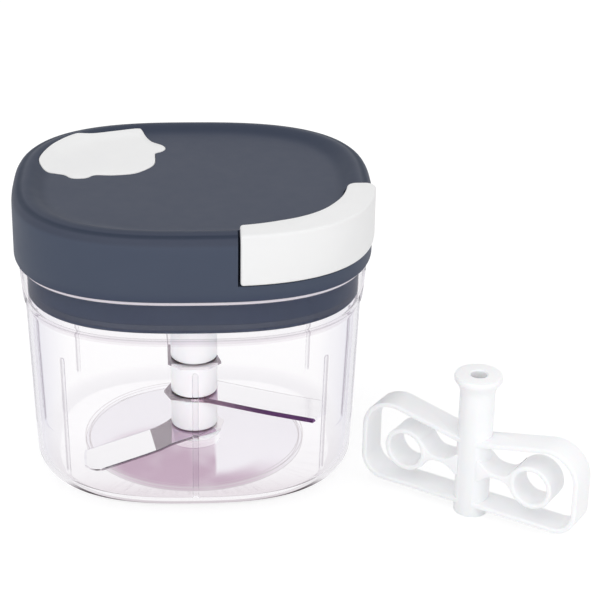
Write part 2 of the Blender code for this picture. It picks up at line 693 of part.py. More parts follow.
def make_reel(materials):
    profile = [(0.0, REEL_BOTTOM), (REEL_FLANGE_RADIUS, REEL_BOTTOM)]
    profile += [(REEL_FLANGE_RADIUS, REEL_DRUM_BOTTOM), (REEL_DRUM_RADIUS, REEL_DRUM_BOTTOM)]
    profile += [(REEL_DRUM_RADIUS, REEL_DRUM_TOP), (REEL_FLANGE_RADIUS, REEL_DRUM_TOP)]
    profile += [(REEL_FLANGE_RADIUS, REEL_TOP), (CHAMBER_RADIUS, REEL_TOP)]
    profile += [(CHAMBER_RADIUS, CHAMBER_FLOOR), (AXLE_RADIUS + GAP, CHAMBER_FLOOR)]
    profile += [(AXLE_RADIUS + GAP, AXLE_BOTTOM - GAP), (0.0, AXLE_BOTTOM - GAP)]
    new_object("cord_reel", turned(profile, 32), materials["white"], (0.0, 0.0, REEL_BOTTOM))

    low = REEL_DRUM_BOTTOM + GAP
    high = REEL_DRUM_TOP - GAP
    inner = REEL_DRUM_RADIUS + GAP
    profile = [(inner, low), (WINDING_RADIUS, low), (WINDING_RADIUS, high), (inner, high)]
    new_object("cord_winding", turned(profile, 32), materials["cord"], (0.0, 0.0, REEL_BOTTOM))

    cap_top = SPRING_CAP_BOTTOM + SPRING_CAP_THICKNESS
    bore = AXLE_RADIUS + GAP
    profile = [(bore, SPRING_CAP_BOTTOM), (REEL_DRUM_RADIUS, SPRING_CAP_BOTTOM)]
    profile += [(REEL_DRUM_RADIUS, cap_top), (bore, cap_top)]
    new_object("spring_cap", turned(profile, 24), materials["white"], (0.0, 0.0, REEL_BOTTOM))


def make_reel_axle(materials):
    profile = [(0.0, AXLE_BOTTOM), (AXLE_RADIUS, AXLE_BOTTOM), (AXLE_RADIUS, AXLE_TOP), (0.0, AXLE_TOP)]
    new_object("reel_axle", turned(profile, 20), materials["steel"])


def make_recoil_spring(materials):
    """A flat spiral strip between the axle and the chamber wall."""
    start = AXLE_RADIUS + GAP + SPRING_STRIP / 2
    end = CHAMBER_RADIUS - GAP - SPRING_STRIP / 2
    bottom = CHAMBER_FLOOR + GAP
    count = round(SPRING_TURNS * SPRING_TURN_STEPS)
    sections = []
    for index in range(count + 1):
        angle = 2.0 * math.pi * index / SPRING_TURN_STEPS
        radius = start + (end - start) * index / count
        section = []
        for across, up in ((-0.5, 0.0), (0.5, 0.0), (0.5, 1.0), (-0.5, 1.0)):
            reach = radius + across * SPRING_STRIP
            section.append(Vector((reach * math.cos(angle), reach * math.sin(angle),
                                   bottom + up * SPRING_HEIGHT)))
        sections.append(section)
    new_object("recoil_spring", loft(sections), materials["spring"])


def make_drive_shaft(materials):
    flange_top = REEL_BOTTOM - GAP
    flange_bottom = flange_top - SHAFT_FLANGE
    rings = [hex_ring(DRIVE_HEX_FLAT_RADIUS - RIM_EDGE, DRIVE_HEX_BOTTOM)]
    rings.append(hex_ring(DRIVE_HEX_FLAT_RADIUS, DRIVE_HEX_BOTTOM + RIM_EDGE))
    rings.append(hex_ring(DRIVE_HEX_FLAT_RADIUS, DRIVE_HEX_TOP))
    rings.append(round_ring(SHAFT_RADIUS, DRIVE_HEX_TOP, 24))
    rings.append(round_ring(SHAFT_RADIUS, flange_bottom, 24))
    rings.append(round_ring(SHAFT_FLANGE_RADIUS, flange_bottom, 24))
    rings.append(round_ring(SHAFT_FLANGE_RADIUS, flange_top, 24))
    new_object("drive_shaft", loft(rings), materials["white"], (0.0, 0.0, REEL_BOTTOM))


def make_eyelet(materials):
    inside = lid_reach(HANDLE_DEPTH + HANDLE_GAP + POCKET_WALL) - EYELET_SEAT_GAP
    outside = lid_reach(HANDLE_DEPTH + HANDLE_GAP)
    length = outside - (inside - EYELET_FLANGE)
    flange_share = EYELET_FLANGE / length
    stations = [(EYELET_FLANGE_RADIUS, 0.0), (EYELET_FLANGE_RADIUS, flange_share)]
    stations += [(EYELET_BARREL_RADIUS, flange_share), (EYELET_BARREL_RADIUS, 1.0)]
    start = pull_point(inside - EYELET_FLANGE)
    barrel = rod_along(start, pull_point(outside), stations)
    eyelet = new_object("cord_eyelet", barrel, materials["steel"], pull_point(outside))
    before = pull_point(inside - EYELET_FLANGE - CUT_PAST)
    bore = cylinder_along(before, pull_point(outside + CUT_PAST), EYELET_BORE)
    combine(eyelet, new_helper("eyelet_bore", bore), "DIFFERENCE")
    return inside - EYELET_FLANGE


def make_cords(materials, eyelet_inside):
    """Straight stretches: reel to eyelet inside the lid, eyelet to the knot in the handle."""
    tangent_radius = WINDING_RADIUS + CORD_RADIUS + GAP
    mouth = pull_point(eyelet_inside - GAP - CORD_RADIUS)
    distance = math.hypot(mouth.x, mouth.y)
    swing = math.acos(tangent_radius / distance)
    angle = math.radians(PULL_AZIMUTH) + swing
    touch = Vector((tangent_radius * math.cos(angle), tangent_radius * math.sin(angle), CORD_HEIGHT))
    lead = cylinder_along(touch, mouth, CORD_RADIUS, 10)
    new_object("cord_lead", lead, materials["cord"])
    seat = lid_reach(HANDLE_DEPTH) + KNOT_SEAT_DEPTH
    knot_centre = seat - GAP - KNOT_RADIUS
    stretch = cylinder_along(pull_point(eyelet_inside), pull_point(knot_centre - KNOT_RADIUS - GAP),
                             CORD_RADIUS, 10)
    new_object("pull_cord", stretch, materials["cord"], pull_point(lid_reach(HANDLE_DEPTH)))
    bm = bmesh.new()
    bmesh.ops.create_uvsphere(bm, u_segments=14, v_segments=8, radius=KNOT_RADIUS)
    bmesh.ops.translate(bm, verts=bm.verts, vec=pull_point(knot_centre))
    new_object("cord_knot", bm, materials["cord"], pull_point(knot_centre))


def make_handle(materials):
    block = corner_block(-HANDLE_PROUD, HANDLE_DEPTH, 0.0, HANDLE_BOTTOM, HANDLE_TOP)
    centre = pull_point(lid_reach(0.0), (HANDLE_BOTTOM + HANDLE_TOP) / 2)
    handle = new_object("pull_handle", block, materials["pale"], centre)
    bevel = handle.modifiers.new("rounded_edges", "BEVEL")
    bevel.width = HANDLE_EDGE * MM
    bevel.segments = 2
    bevel.limit_method = "ANGLE"
    bevel.angle_limit = math.radians(50.0)
    inner_face = lid_reach(HANDLE_DEPTH)
    seat = cylinder_along(pull_point(inner_face - KNOT_RADIUS), pull_point(inner_face + KNOT_SEAT_DEPTH),
                          KNOT_RADIUS + GAP, 16)
    combine(handle, new_helper("knot_seat", seat), "DIFFERENCE")


def make_hub(materials):
    bore = PIN_RADIUS + GAP
    flange_top = HUB_BOTTOM + HUB_FLANGE
    profile = [(bore, HUB_BOTTOM), (HUB_FLANGE_RADIUS, HUB_BOTTOM)]
    profile += [(HUB_FLANGE_RADIUS, flange_top - RIM_EDGE), (HUB_FLANGE_RADIUS - RIM_EDGE, flange_top)]
    profile += [(HUB_CORE_RADIUS, flange_top), (HUB_CORE_RADIUS, HUB_CORE_TOP), (bore, HUB_CORE_TOP)]
    new_object("hub_base", turned(profile, 24), materials["white"])
    sleeve = HUB_CORE_RADIUS + GAP
    levels = hub_levels()
    for name, below, above in (("hub_spacer_lower", 0, 1), ("hub_spacer_middle", 1, 2)):
        low = levels[below] + BLADE_THICKNESS + GAP
        high = levels[above] - GAP
        profile = [(sleeve, low), (HUB_RADIUS - HUB_EDGE, low), (HUB_RADIUS, low + HUB_EDGE)]
        profile += [(HUB_RADIUS, high), (sleeve, high)]
        new_object(name, turned(profile, 28), materials["white"], (0.0, 0.0, low))
    low = levels[2] + BLADE_THICKNESS + GAP
    core_room = HUB_CORE_TOP + GAP
    profile = [(sleeve, low), (HUB_RADIUS - HUB_EDGE, low), (HUB_RADIUS, low + HUB_EDGE)]
    profile += [(HUB_RADIUS, HUB_TOP - HUB_EDGE), (HUB_RADIUS - HUB_EDGE, HUB_TOP), (0.0, HUB_TOP)]
    profile += [(0.0, core_room), (sleeve, core_room)]
    head = new_object("hub_head", turned(profile, 28), materials["white"], (0.0, 0.0, low))
    flats = DRIVE_HEX_FLAT_RADIUS + GAP
    socket = loft([hex_ring(flats, HUB_TOP - HUB_SOCKET_DEPTH), hex_ring(flats, HUB_TOP + CUT_PAST)])
    combine(head, new_helper("drive_socket", socket), "DIFFERENCE")


def hub_levels():
    return [HUB_LEVEL_LOW + HUB_LEVEL_STEP * index for index in range(3)]


def blade_stations(reach, tip_cut):
    """(trailing point, leading point, drop, grind) along the blade, from its tail to its tip."""
    half_root = BLADE_ROOT_HALF_WIDTH
    half_tail = BLADE_ROOT_HALF_WIDTH - BLADE_TAIL_CORNER
    corner_end = BLADE_TAIL_CORNER - BLADE_TAIL
    flat = (0.0, BLADE_ROOT_GRIND)
    cranked = (BLADE_JOGGLE, BLADE_GRIND)
    crank_end = HUB_RADIUS + BLADE_CRANK
    corner = reach - BLADE_TRAILING / 2
    lead_end = math.sqrt(reach ** 2 - BLADE_LEADING ** 2) - tip_cut
    trail_end = math.sqrt(reach ** 2 - (BLADE_TRAILING / 2) ** 2)
    lead_corner = min(corner, lead_end - BLADE_GRIND)
    return [
        ((-BLADE_TAIL, -half_tail), (-BLADE_TAIL, half_tail), *flat),
        ((corner_end, -half_root), (corner_end, half_root), *flat),
        ((HUB_RADIUS, -BLADE_TRAILING), (HUB_RADIUS, BLADE_LEADING), *flat),
        ((crank_end, -BLADE_TRAILING), (crank_end, BLADE_LEADING), *cranked),
        ((corner, -BLADE_TRAILING), (lead_corner, BLADE_LEADING), *cranked),
        ((trail_end, -BLADE_TRAILING / 2), (lead_end, BLADE_LEADING), *cranked),
    ]


def make_blade(name, level, reach, materials):
    """A flat blade, ground along its leading edge, with a cranked root that is wider than the hub.

    The tail's two corners are cut off at 45 degrees, and the root has a hole for the hub's core.
    """
    turn = math.radians(BLADE_AZIMUTHS[name])
    along = Vector((math.cos(turn), math.sin(turn)))
    leading = Vector((math.sin(turn), -math.cos(turn)))
    rings = []
    for trail, lead, drop, grind in blade_stations(reach, BLADE_TIP_CUTS[name]):
        low = level - drop
        section = [(trail, low), (lead, low), (lead, low + BLADE_THICKNESS / 4)]
        section += [((lead[0], lead[1] - grind), low + BLADE_THICKNESS), (trail, low + BLADE_THICKNESS)]
        points = []
        for (distance, offset), z in section:
            flat = along * distance + leading * offset
            points.append(Vector((flat.x, flat.y, z)))
        rings.append(points)
    blade = new_object("blade_" + name, loft(rings), materials["steel"], (0.0, 0.0, level))
    hole = turned_cylinder(HUB_CORE_RADIUS + GAP, level - CUT_PAST, level + BLADE_THICKNESS + CUT_PAST,
                           segments=20)
    combine(blade, new_helper("blade_hole_" + name, hole), "DIFFERENCE")


def make_blades(materials):
    low, middle, high = hub_levels()
    make_blade("lower", low, BLADE_TIP_RADIUS - LOWER_BLADE_SHORTER, materials)
    make_blade("middle", middle, BLADE_TIP_RADIUS, materials)
    make_blade("upper", high, BLADE_TIP_RADIUS, materials)


def rounded_path(corners, steps=5):
    """A closed path through (s, z, radius) corners, each rounded by its radius."""
    points = []
    count = len(corners)
    for index, (s, z, radius) in enumerate(corners):
        corner = Vector((s, z))
        before = (Vector(corners[index - 1][:2]) - corner).normalized()
        after = (Vector(corners[(index + 1) % count][:2]) - corner).normalized()
        if radius == 0.0:
            points.append(corner)
            continue
        half = before.angle(after) / 2
        middle = (before + after).normalized()
        centre = corner + middle * radius / math.sin(half)
        start = corner + before * radius / math.tan(half) - centre
        end = corner + after * radius / math.tan(half) - centre
        for step in range(steps + 1):
            share = step / steps
            points.append(centre + start.lerp(end, share).normalized() * radius)
    return points


def whisk_point(s, depth, z):
    turn = math.radians(WHISK_TURN)
    x = WHISK_X + s * math.cos(turn) - depth * math.sin(turn)
    y = WHISK_Y + s * math.sin(turn) + depth * math.cos(turn)
    return Vector((x, y, z))


def ribbon(path, thickness):
    """A closed band of the given thickness inside a path, as deep as the whisk's ribbons."""
    count = len(path)
    rings = []
    for index, point in enumerate(path):
        before = (point - path[index - 1]).normalized()
        after = (path[(index + 1) % count] - point).normalized()
        tangent = (before + after).normalized()
        inward = Vector((-tangent.y, tangent.x)) * thickness / max(tangent.dot(before), 0.5)
        inner = point + inward
        half = WHISK_RIBBON_DEPTH / 2
        rings.append([whisk_point(point.x, -half, point.y), whisk_point(point.x, half, point.y),
                      whisk_point(inner.x, half, inner.y), whisk_point(inner.x, -half, inner.y)])
    return loft(rings, closed=True)


def whisk_loop(side):
    """One ribbon loop beside the post, low at the post and high at its outer end."""
    root = GAP
    corners = [(root, WHISK_LOOP_BOTTOM, 0.0)]
    corners.append((WHISK_REACH, WHISK_LOOP_BOTTOM, WHISK_OUTER_BOTTOM_RADIUS))
    corners.append((WHISK_REACH, WHISK_LOOP_OUTER_TOP, WHISK_OUTER_TOP_RADIUS))
    corners.append((root, WHISK_LOOP_INNER_TOP, 0.0))
    path = rounded_path(corners)
    if side < 0:
        path = [Vector((-point.x, point.y)) for point in path][::-1]
    return ribbon(path, WHISK_RIBBON)


def whisk_ring(side):
    count = 20
    path = []
    for index in range(count):
        angle = 2.0 * math.pi * index / count
        s = side * WHISK_RING_REACH + WHISK_RING_RADIUS * math.cos(angle)
        path.append(Vector((s, WHISK_RING_HEIGHT + WHISK_RING_RADIUS * math.sin(angle))))
    return ribbon(path, WHISK_RIBBON)


def whisk_web(side):
    near = WHISK_POST_RADIUS / 2
    far = WHISK_RING_REACH - WHISK_RING_RADIUS + WHISK_RIBBON / 2
    half = WHISK_RIBBON_DEPTH / 2 - GAP
    low = WHISK_RING_HEIGHT - WHISK_RIBBON / 2
    high = WHISK_RING_HEIGHT + WHISK_RIBBON / 2
    rings = []
    for s in (near, far):
        rings.append([whisk_point(side * s, -half, low), whisk_point(side * s, half, low),
                      whisk_point(side * s, half, high), whisk_point(side * s, -half, high)])
    return loft(rings)


def make_whisk(materials):
    bore = PIN_RADIUS + GAP
    flange_bottom = WHISK_HEIGHT - WHISK_FLANGE
    flare = WHISK_FLANGE_RADIUS - WHISK_POST_RADIUS
    profile = [(bore, 0.0), (WHISK_POST_RADIUS - RIM_EDGE, 0.0), (WHISK_POST_RADIUS, RIM_EDGE)]
    profile += [(WHISK_POST_RADIUS, flange_bottom - flare), (WHISK_FLANGE_RADIUS, flange_bottom)]
    profile += [(WHISK_FLANGE_RADIUS, WHISK_HEIGHT), (bore, WHISK_HEIGHT)]
    place = (WHISK_X, WHISK_Y)
    whisk = new_object("whisk", turned(profile, 28, place), materials["white"], (*place, 0.0))
    combine(whisk, new_helper("whisk_loops", merge([whisk_loop(-1), whisk_loop(1)])), "UNION")
    combine(whisk, new_helper("whisk_webs", merge([whisk_web(-1), whisk_web(1)])), "UNION")
    combine(whisk, new_helper("whisk_rings", merge([whisk_ring(-1), whisk_ring(1)])), "UNION")
    core = turned_cylinder(bore, -CUT_PAST, WHISK_HEIGHT + CUT_PAST, place, 20)
    combine(whisk, new_helper("whisk_bore", core), "DIFFERENCE")


def main():
    clear_scene()
    materials = make_materials()
    make_bowl(materials)
    make_pivot_pin(materials)
    make_lid_cover(materials)
    make_lid_inlay(materials)
    make_lid_base(materials)
    make_seal_ring(materials)
    make_shaft_bush(materials)
    make_lid_screws(materials)
    make_reel_axle(materials)
    make_recoil_spring(materials)
    make_reel(materials)
    make_drive_shaft(materials)
    eyelet_inside = make_eyelet(materials)
    make_cords(materials, eyelet_inside)
    make_handle(materials)
    make_hub(materials)
    make_blades(materials)
    make_whisk(materials)


main()
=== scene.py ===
"""Looks of the pull-cord food chopper: clear bowl, blade hub, slate lid, pull handle and whisk.

Sizes are in millimetres and become metres where a mesh is made. The lamps and the bare places and widths
in the materials are in metres. +Z is up, -Y is the front.
"""

from math import asin, atan2, cos, pi, radians, remainder, sin, sqrt, tan

import bmesh
import bpy
from mathutils import Matrix, Vector


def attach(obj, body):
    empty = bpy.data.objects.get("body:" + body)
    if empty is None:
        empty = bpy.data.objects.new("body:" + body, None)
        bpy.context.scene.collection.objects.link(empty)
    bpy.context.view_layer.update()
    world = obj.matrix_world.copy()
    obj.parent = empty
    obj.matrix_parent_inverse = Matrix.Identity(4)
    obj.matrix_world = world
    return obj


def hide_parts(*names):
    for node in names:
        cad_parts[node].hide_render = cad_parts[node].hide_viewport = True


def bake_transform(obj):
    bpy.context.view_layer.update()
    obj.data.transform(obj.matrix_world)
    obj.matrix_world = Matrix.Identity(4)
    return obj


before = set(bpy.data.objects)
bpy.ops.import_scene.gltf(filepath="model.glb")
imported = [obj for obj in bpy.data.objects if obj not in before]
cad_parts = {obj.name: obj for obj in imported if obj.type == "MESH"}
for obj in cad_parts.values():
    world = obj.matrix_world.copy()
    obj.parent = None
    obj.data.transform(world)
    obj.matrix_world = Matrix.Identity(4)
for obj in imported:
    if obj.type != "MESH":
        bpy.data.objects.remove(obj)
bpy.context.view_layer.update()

MM = 0.001
SMOOTH_ANGLE = radians(35.0)
BLADE_SMOOTH_ANGLE = radians(6.0)

# Clearances
GAP = 0.3
HANDLE_GAP = 0.8
CUT_PAST = 1.0

# Lid and bowl outlines
LID_HALF = (60.0, 54.6)
LID_SQUARENESS = 2.72
BOWL_FOOT_HALF = (54.6, 51.3)
BOWL_TOP_HALF = (56.9, 52.2)
BOWL_SQUARENESS = 2.7
OUTLINE_POINTS = 168

# Bowl
BOWL_BODY_TOP = 61.8
BOWL_FOOT_RADIUS = 7.3
BOWL_WALL = 1.6
BOWL_FLOOR = 2.2
FOOT_PAD_RADIUS = 9.0
RECESS_RADIUS = 38.4
RECESS_EDGE = 1.1
RECESS_DEPTH = 0.6
COLLAR_STEP_TOP = 63.6
COLLAR_TOP = 77.6
COLLAR_FOOT_INSET = 2.2
COLLAR_RIM_INSET = 1.3
COLLAR_INNER_INSET = 3.3
RIM_EDGE = 0.5
RIB_WIDTH = 2.0
RIB_HEIGHT = 1.1
RIB_TOP = 51.0
RIB_ANGLES = (0.0, 41.0, 90.0, 139.0, 180.0, 221.0, 270.0, 319.0)
RIB_DROPS = (0.0, 0.06, 0.2, 0.4, 0.65, 1.0)
STEP_EDGE = 0.4
FLOOR_DIP = 0.15
BOSS_RADIUS = 5.5
BOSS_RISE = 0.7
PIN_RADIUS = 2.4
PIN_SEAT_FLOOR = 0.9

# Lid
LID_BOTTOM = 77.9
LID_CREST = 100.3
LID_WALL = 2.3
DISH_FLOOR = 97.9
ROOF_UNDERSIDE = 95.8
CREASE_INSET = 2.5
SLOPE_INSET = 7.8
INLAY_DEPTH = 0.7
INLAY_PROUD = 0.2
INLAY_SEAM = 0.15
INLAY_EDGE = 0.3
INLAY_SHARES = (0.2, 0.4, 0.6, 0.7, 0.8, 0.9, 1.0)
BASE_BOTTOM = 65.4
BASE_FLOOR = 68.8
BASE_TOP = 80.0
BASE_SKIRT_INSET = 3.6
BASE_SKIRT_WALL = 2.0
SEAL_BOTTOM = 66.8
SEAL_HEIGHT = 1.8
SEAL_DEPTH = 0.7
SEAL_SEAM = 0.04
BUSH_HOLE_RADIUS = 8.0
SCREW_PLACES = ((-24.0, -33.0), (-24.0, 33.0), (24.0, -33.0), (24.0, 33.0))
SCREW_RECESS = (3.2, 2.4)
SCREW_HOLE_RADIUS = 1.7
SCREW_HEAD = (2.9, 1.8)
SCREW_SHANK_RADIUS = 1.4
SCREW_LENGTH = 9.7
SCREW_CROSS = (1.5, 0.3)
SCREW_CROSS_DEPTH = 0.9

# Handle
HANDLE_SEAM = 0.3
HANDLE_PROUD = 0.8
HANDLE_DEPTH = 9.5
HANDLE_END_DEPTH = 8.5
HANDLE_EDGE = 0.9
HANDLE_BOTTOM = 83.7
HANDLE_TOP = 101.0
HANDLE_FRONT_END_X = 14.3
HANDLE_SIDE_END_Y = -10.2
HANDLE_CORNER_RADIUS = 3.4
POCKET_WALL = 2.0
PULL_AZIMUTH = -41.0
CORD_HEIGHT = 86.8
CORD_RADIUS = 0.9
CORD_HOLE_RADIUS = 2.9
CORD_STEPS = 60
CORD_START_BEHIND = 1.7
CORD_END_SUNK = 0.2

# Hub and blades
HUB_RADIUS = 8.15
HUB_EDGE = 0.8
HUB_CORE_RADIUS = 4.0
HUB_FLANGE_RADIUS = 9.5
HUB_BOTTOM = 3.2
HUB_FLANGE_TOP = 4.9
HUB_CORE_TOP = 51.7
HUB_TOP = 62.0
HUB_SOCKET_DEPTH = 8.0
DRIVE_FLAT_RADIUS = 3.9
BLADE_LEVELS = (5.2, 18.3, 31.4)
BLADE_THICKNESS = 0.9
BLADE_LEADING = 6.5
BLADE_TRAILING = 9.0
BLADE_GRIND = 1.6
BLADE_GRIND_END = 14.5
BLADE_ROOT_HALF = 9.3
BLADE_TAIL = 9.4
BLADE_TAIL_CORNER = 4.4
BLADE_DROP = 0.8

# Whisk
WHISK_PLACE = (91.7, -52.5)
WHISK_TURN = radians(-35.0)
WHISK_HEIGHT = 50.8
WHISK_POST_RADIUS = 5.8
WHISK_FLANGE_RADIUS = 7.9
WHISK_FLARE = ((0.0, 44.6), (0.15, 45.6), (0.7, 46.9), (1.6, 48.2))
WHISK_FLANGE_BOTTOM = 49.0
WHISK_BORE = 2.7
WHISK_REACH = 39.5
WHISK_LOOP = ((GAP, 4.0, 0.0), (WHISK_REACH, 4.0, 8.0), (WHISK_REACH, 36.5, 11.0), (GAP, 27.8, 0.0))
WHISK_DEPTH = 10.4
WHISK_RIBBON = 1.8
WHISK_RING_RADIUS = 7.6
WHISK_RING_REACH = 23.0
WHISK_RING_HEIGHT = 18.0

# Studio
FLOOR_HALF = 4000.0
LAMPS_AIM = (0.03, -0.02, 0.05)
CAMERA_LENS = 116.683
CAMERA_PLACE = (-4.5989, -607.9305, 338.0640)


# Shapes


def oval_radius(angle, halves, squareness):
    across = abs(cos(angle) / halves[0]) ** squareness
    along = abs(sin(angle) / halves[1]) ** squareness
    return (across + along) ** (-1.0 / squareness)


def even_angles(count):
    return [2.0 * pi * index / count for index in range(count)]


EVEN = even_angles(OUTLINE_POINTS)


def polar(radius, angle, z):
    return Vector((radius * cos(angle), radius * sin(angle), z))


def oval_ring(halves, inset, squareness, z, angles, bumps=None):
    points = []
    inner = (halves[0] - inset, halves[1] - inset)
    for index, angle in enumerate(angles):
        radius = oval_radius(angle, inner, squareness)
        if bumps is not None:
            radius -= bumps[index]
        points.append(polar(radius, angle, z))
    return points


def lid_ring(inset, z, angles=EVEN):
    return oval_ring(LID_HALF, inset, LID_SQUARENESS, z, angles)


def lid_loft(profile, closed=False):
    return loft([lid_ring(inset, z) for inset, z in profile], closed)


def bowl_halves(z):
    share = min(z / BOWL_BODY_TOP, 1.0)
    return [low + share * (high - low) for low, high in zip(BOWL_FOOT_HALF, BOWL_TOP_HALF)]


def bowl_ring(inset, z, angles, bumps=None):
    return oval_ring(bowl_halves(z), inset, BOWL_SQUARENESS, z, angles, bumps)


def round_ring(radius, z, angles, centre=(0.0, 0.0)):
    return [Vector((centre[0] + radius * cos(a), centre[1] + radius * sin(a), z)) for a in angles]


def hex_ring(flat_radius, z, count=48):
    points = []
    for angle in even_angles(count):
        local = (angle + pi / 6) % (pi / 3) - pi / 6
        points.append(polar(flat_radius / cos(local), angle, z))
    return points


def between(lower, upper, share):
    return [a.lerp(b, share) for a, b in zip(lower, upper)]


def add_faces(bm, lower, upper):
    """Faces between two rings of corners, a corner that both share taken once."""
    for index in range(len(lower)):
        following = (index + 1) % len(lower)
        corners = [lower[index], lower[following], upper[following], upper[index]]
        bm.faces.new(list(dict.fromkeys(corners)))


def loft(rings, closed=False):
    bm = bmesh.new()
    loops = [[bm.verts.new(point) for point in points] for points in rings]
    pairs = list(zip(loops, loops[1:]))
    if closed:
        pairs.append((loops[-1], loops[0]))
    for lower, upper in pairs:
        add_faces(bm, lower, upper)
    if not closed:
        bm.faces.new(loops[0][::-1])
        bm.faces.new(loops[-1])
    return bm


def lathe(profile, count=56, centre=(0.0, 0.0)):
    """Turn a closed outline of (radius, height) about a vertical axis. Radius 0 closes on the axis."""
    bm = bmesh.new()
    loops = []
    for radius, z in profile:
        if radius == 0.0:
            loops.append([bm.verts.new((centre[0], centre[1], z))] * count)
        else:
            loops.append([bm.verts.new(p) for p in round_ring(radius, z, even_angles(count), centre)])
    for lower, upper in zip(loops, loops[1:] + loops[:1]):
        if lower[0] is not lower[1] or upper[0] is not upper[1]:
            add_faces(bm, lower, upper)
    return bm


def cylinder(radius, low, high, count=56, centre=(0.0, 0.0)):
    return lathe([(0.0, low), (radius, low), (radius, high), (0.0, high)], count, centre)


def rectangle(x, y, half_x, half_y):
    return [(x - half_x, y - half_y), (x + half_x, y - half_y), (x + half_x, y + half_y),
            (x - half_x, y + half_y)]


def prism(outline, bottom, top):
    return loft([[Vector((x, y, bottom)) for x, y in outline], [Vector((x, y, top)) for x, y in outline]])


def tube(middles, side, up, radius, count):
    """A round rod through the middles, its rings in the plane of side and up."""
    angles = even_angles(count)
    return loft([[middle + radius * (cos(a) * side + sin(a) * up) for a in angles] for middle in middles])


def rod(start, end, radius, count=24):
    axis = (end - start).normalized()
    side = axis.cross(Vector((0.0, 0.0, 1.0))).normalized()
    return tube((start, end), side, side.cross(axis), radius, count)


def merge(parts):
    joined = bmesh.new()
    for part in parts:
        copies = {vert: joined.verts.new(vert.co) for vert in part.verts}
        for face in part.faces:
            joined.faces.new([copies[vert] for vert in face.verts])
        part.free()
    return joined


def make_object(name, bm):
    bmesh.ops.remove_doubles(bm, verts=bm.verts, dist=1e-5)
    bmesh.ops.recalc_face_normals(bm, faces=bm.faces)
    bmesh.ops.scale(bm, vec=(MM, MM, MM), verts=bm.verts)
    mesh = bpy.data.meshes.new(name)
    bm.to_mesh(mesh)
    bm.free()
    obj = bpy.data.objects.new(name, mesh)
    bpy.context.scene.collection.objects.link(obj)
    return obj


def apply_modifiers(obj):
    bpy.context.view_layer.update()
    evaluated = obj.evaluated_get(bpy.context.evaluated_depsgraph_get())
    mesh = bpy.data.meshes.new_from_object(evaluated)
    obj.modifiers.clear()
    old = obj.data
    obj.data = mesh
    bpy.data.meshes.remove(old)


def combine(obj, bm, operation):
    """Cut a closed shape from obj or join it on, at once."""
    helper = make_object("helper", bm)
    modifier = obj.modifiers.new("combine", "BOOLEAN")
    modifier.object = helper
    modifier.operation = operation
    modifier.solver = "EXACT"
    apply_modifiers(obj)
    mesh = helper.data
    bpy.data.objects.remove(helper)
    bpy.data.meshes.remove(mesh)


def cut(obj, bm):
    combine(obj, bm, "DIFFERENCE")


def round_edges(obj, width, segments=4, angle=50.0):
    modifier = obj.modifiers.new("rounded", "BEVEL")
    modifier.width = width * MM
    modifier.segments = segments
    modifier.limit_method = "ANGLE"
    modifier.angle_limit = radians(angle)
    apply_modifiers(obj)


def piece(obj, body, slot, material, *replaced, smooth=SMOOTH_ANGLE):
    """Finish a piece: smooth shading, its material, the body it rides on and the nodes it stands for."""
    obj.data.shade_smooth()
    obj.data.set_sharp_from_angle(angle=smooth)
    obj.data.materials.clear()
    obj.data.materials.append(material)
    if body is not None:
        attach(obj, body)
    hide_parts(*replaced)


# Materials


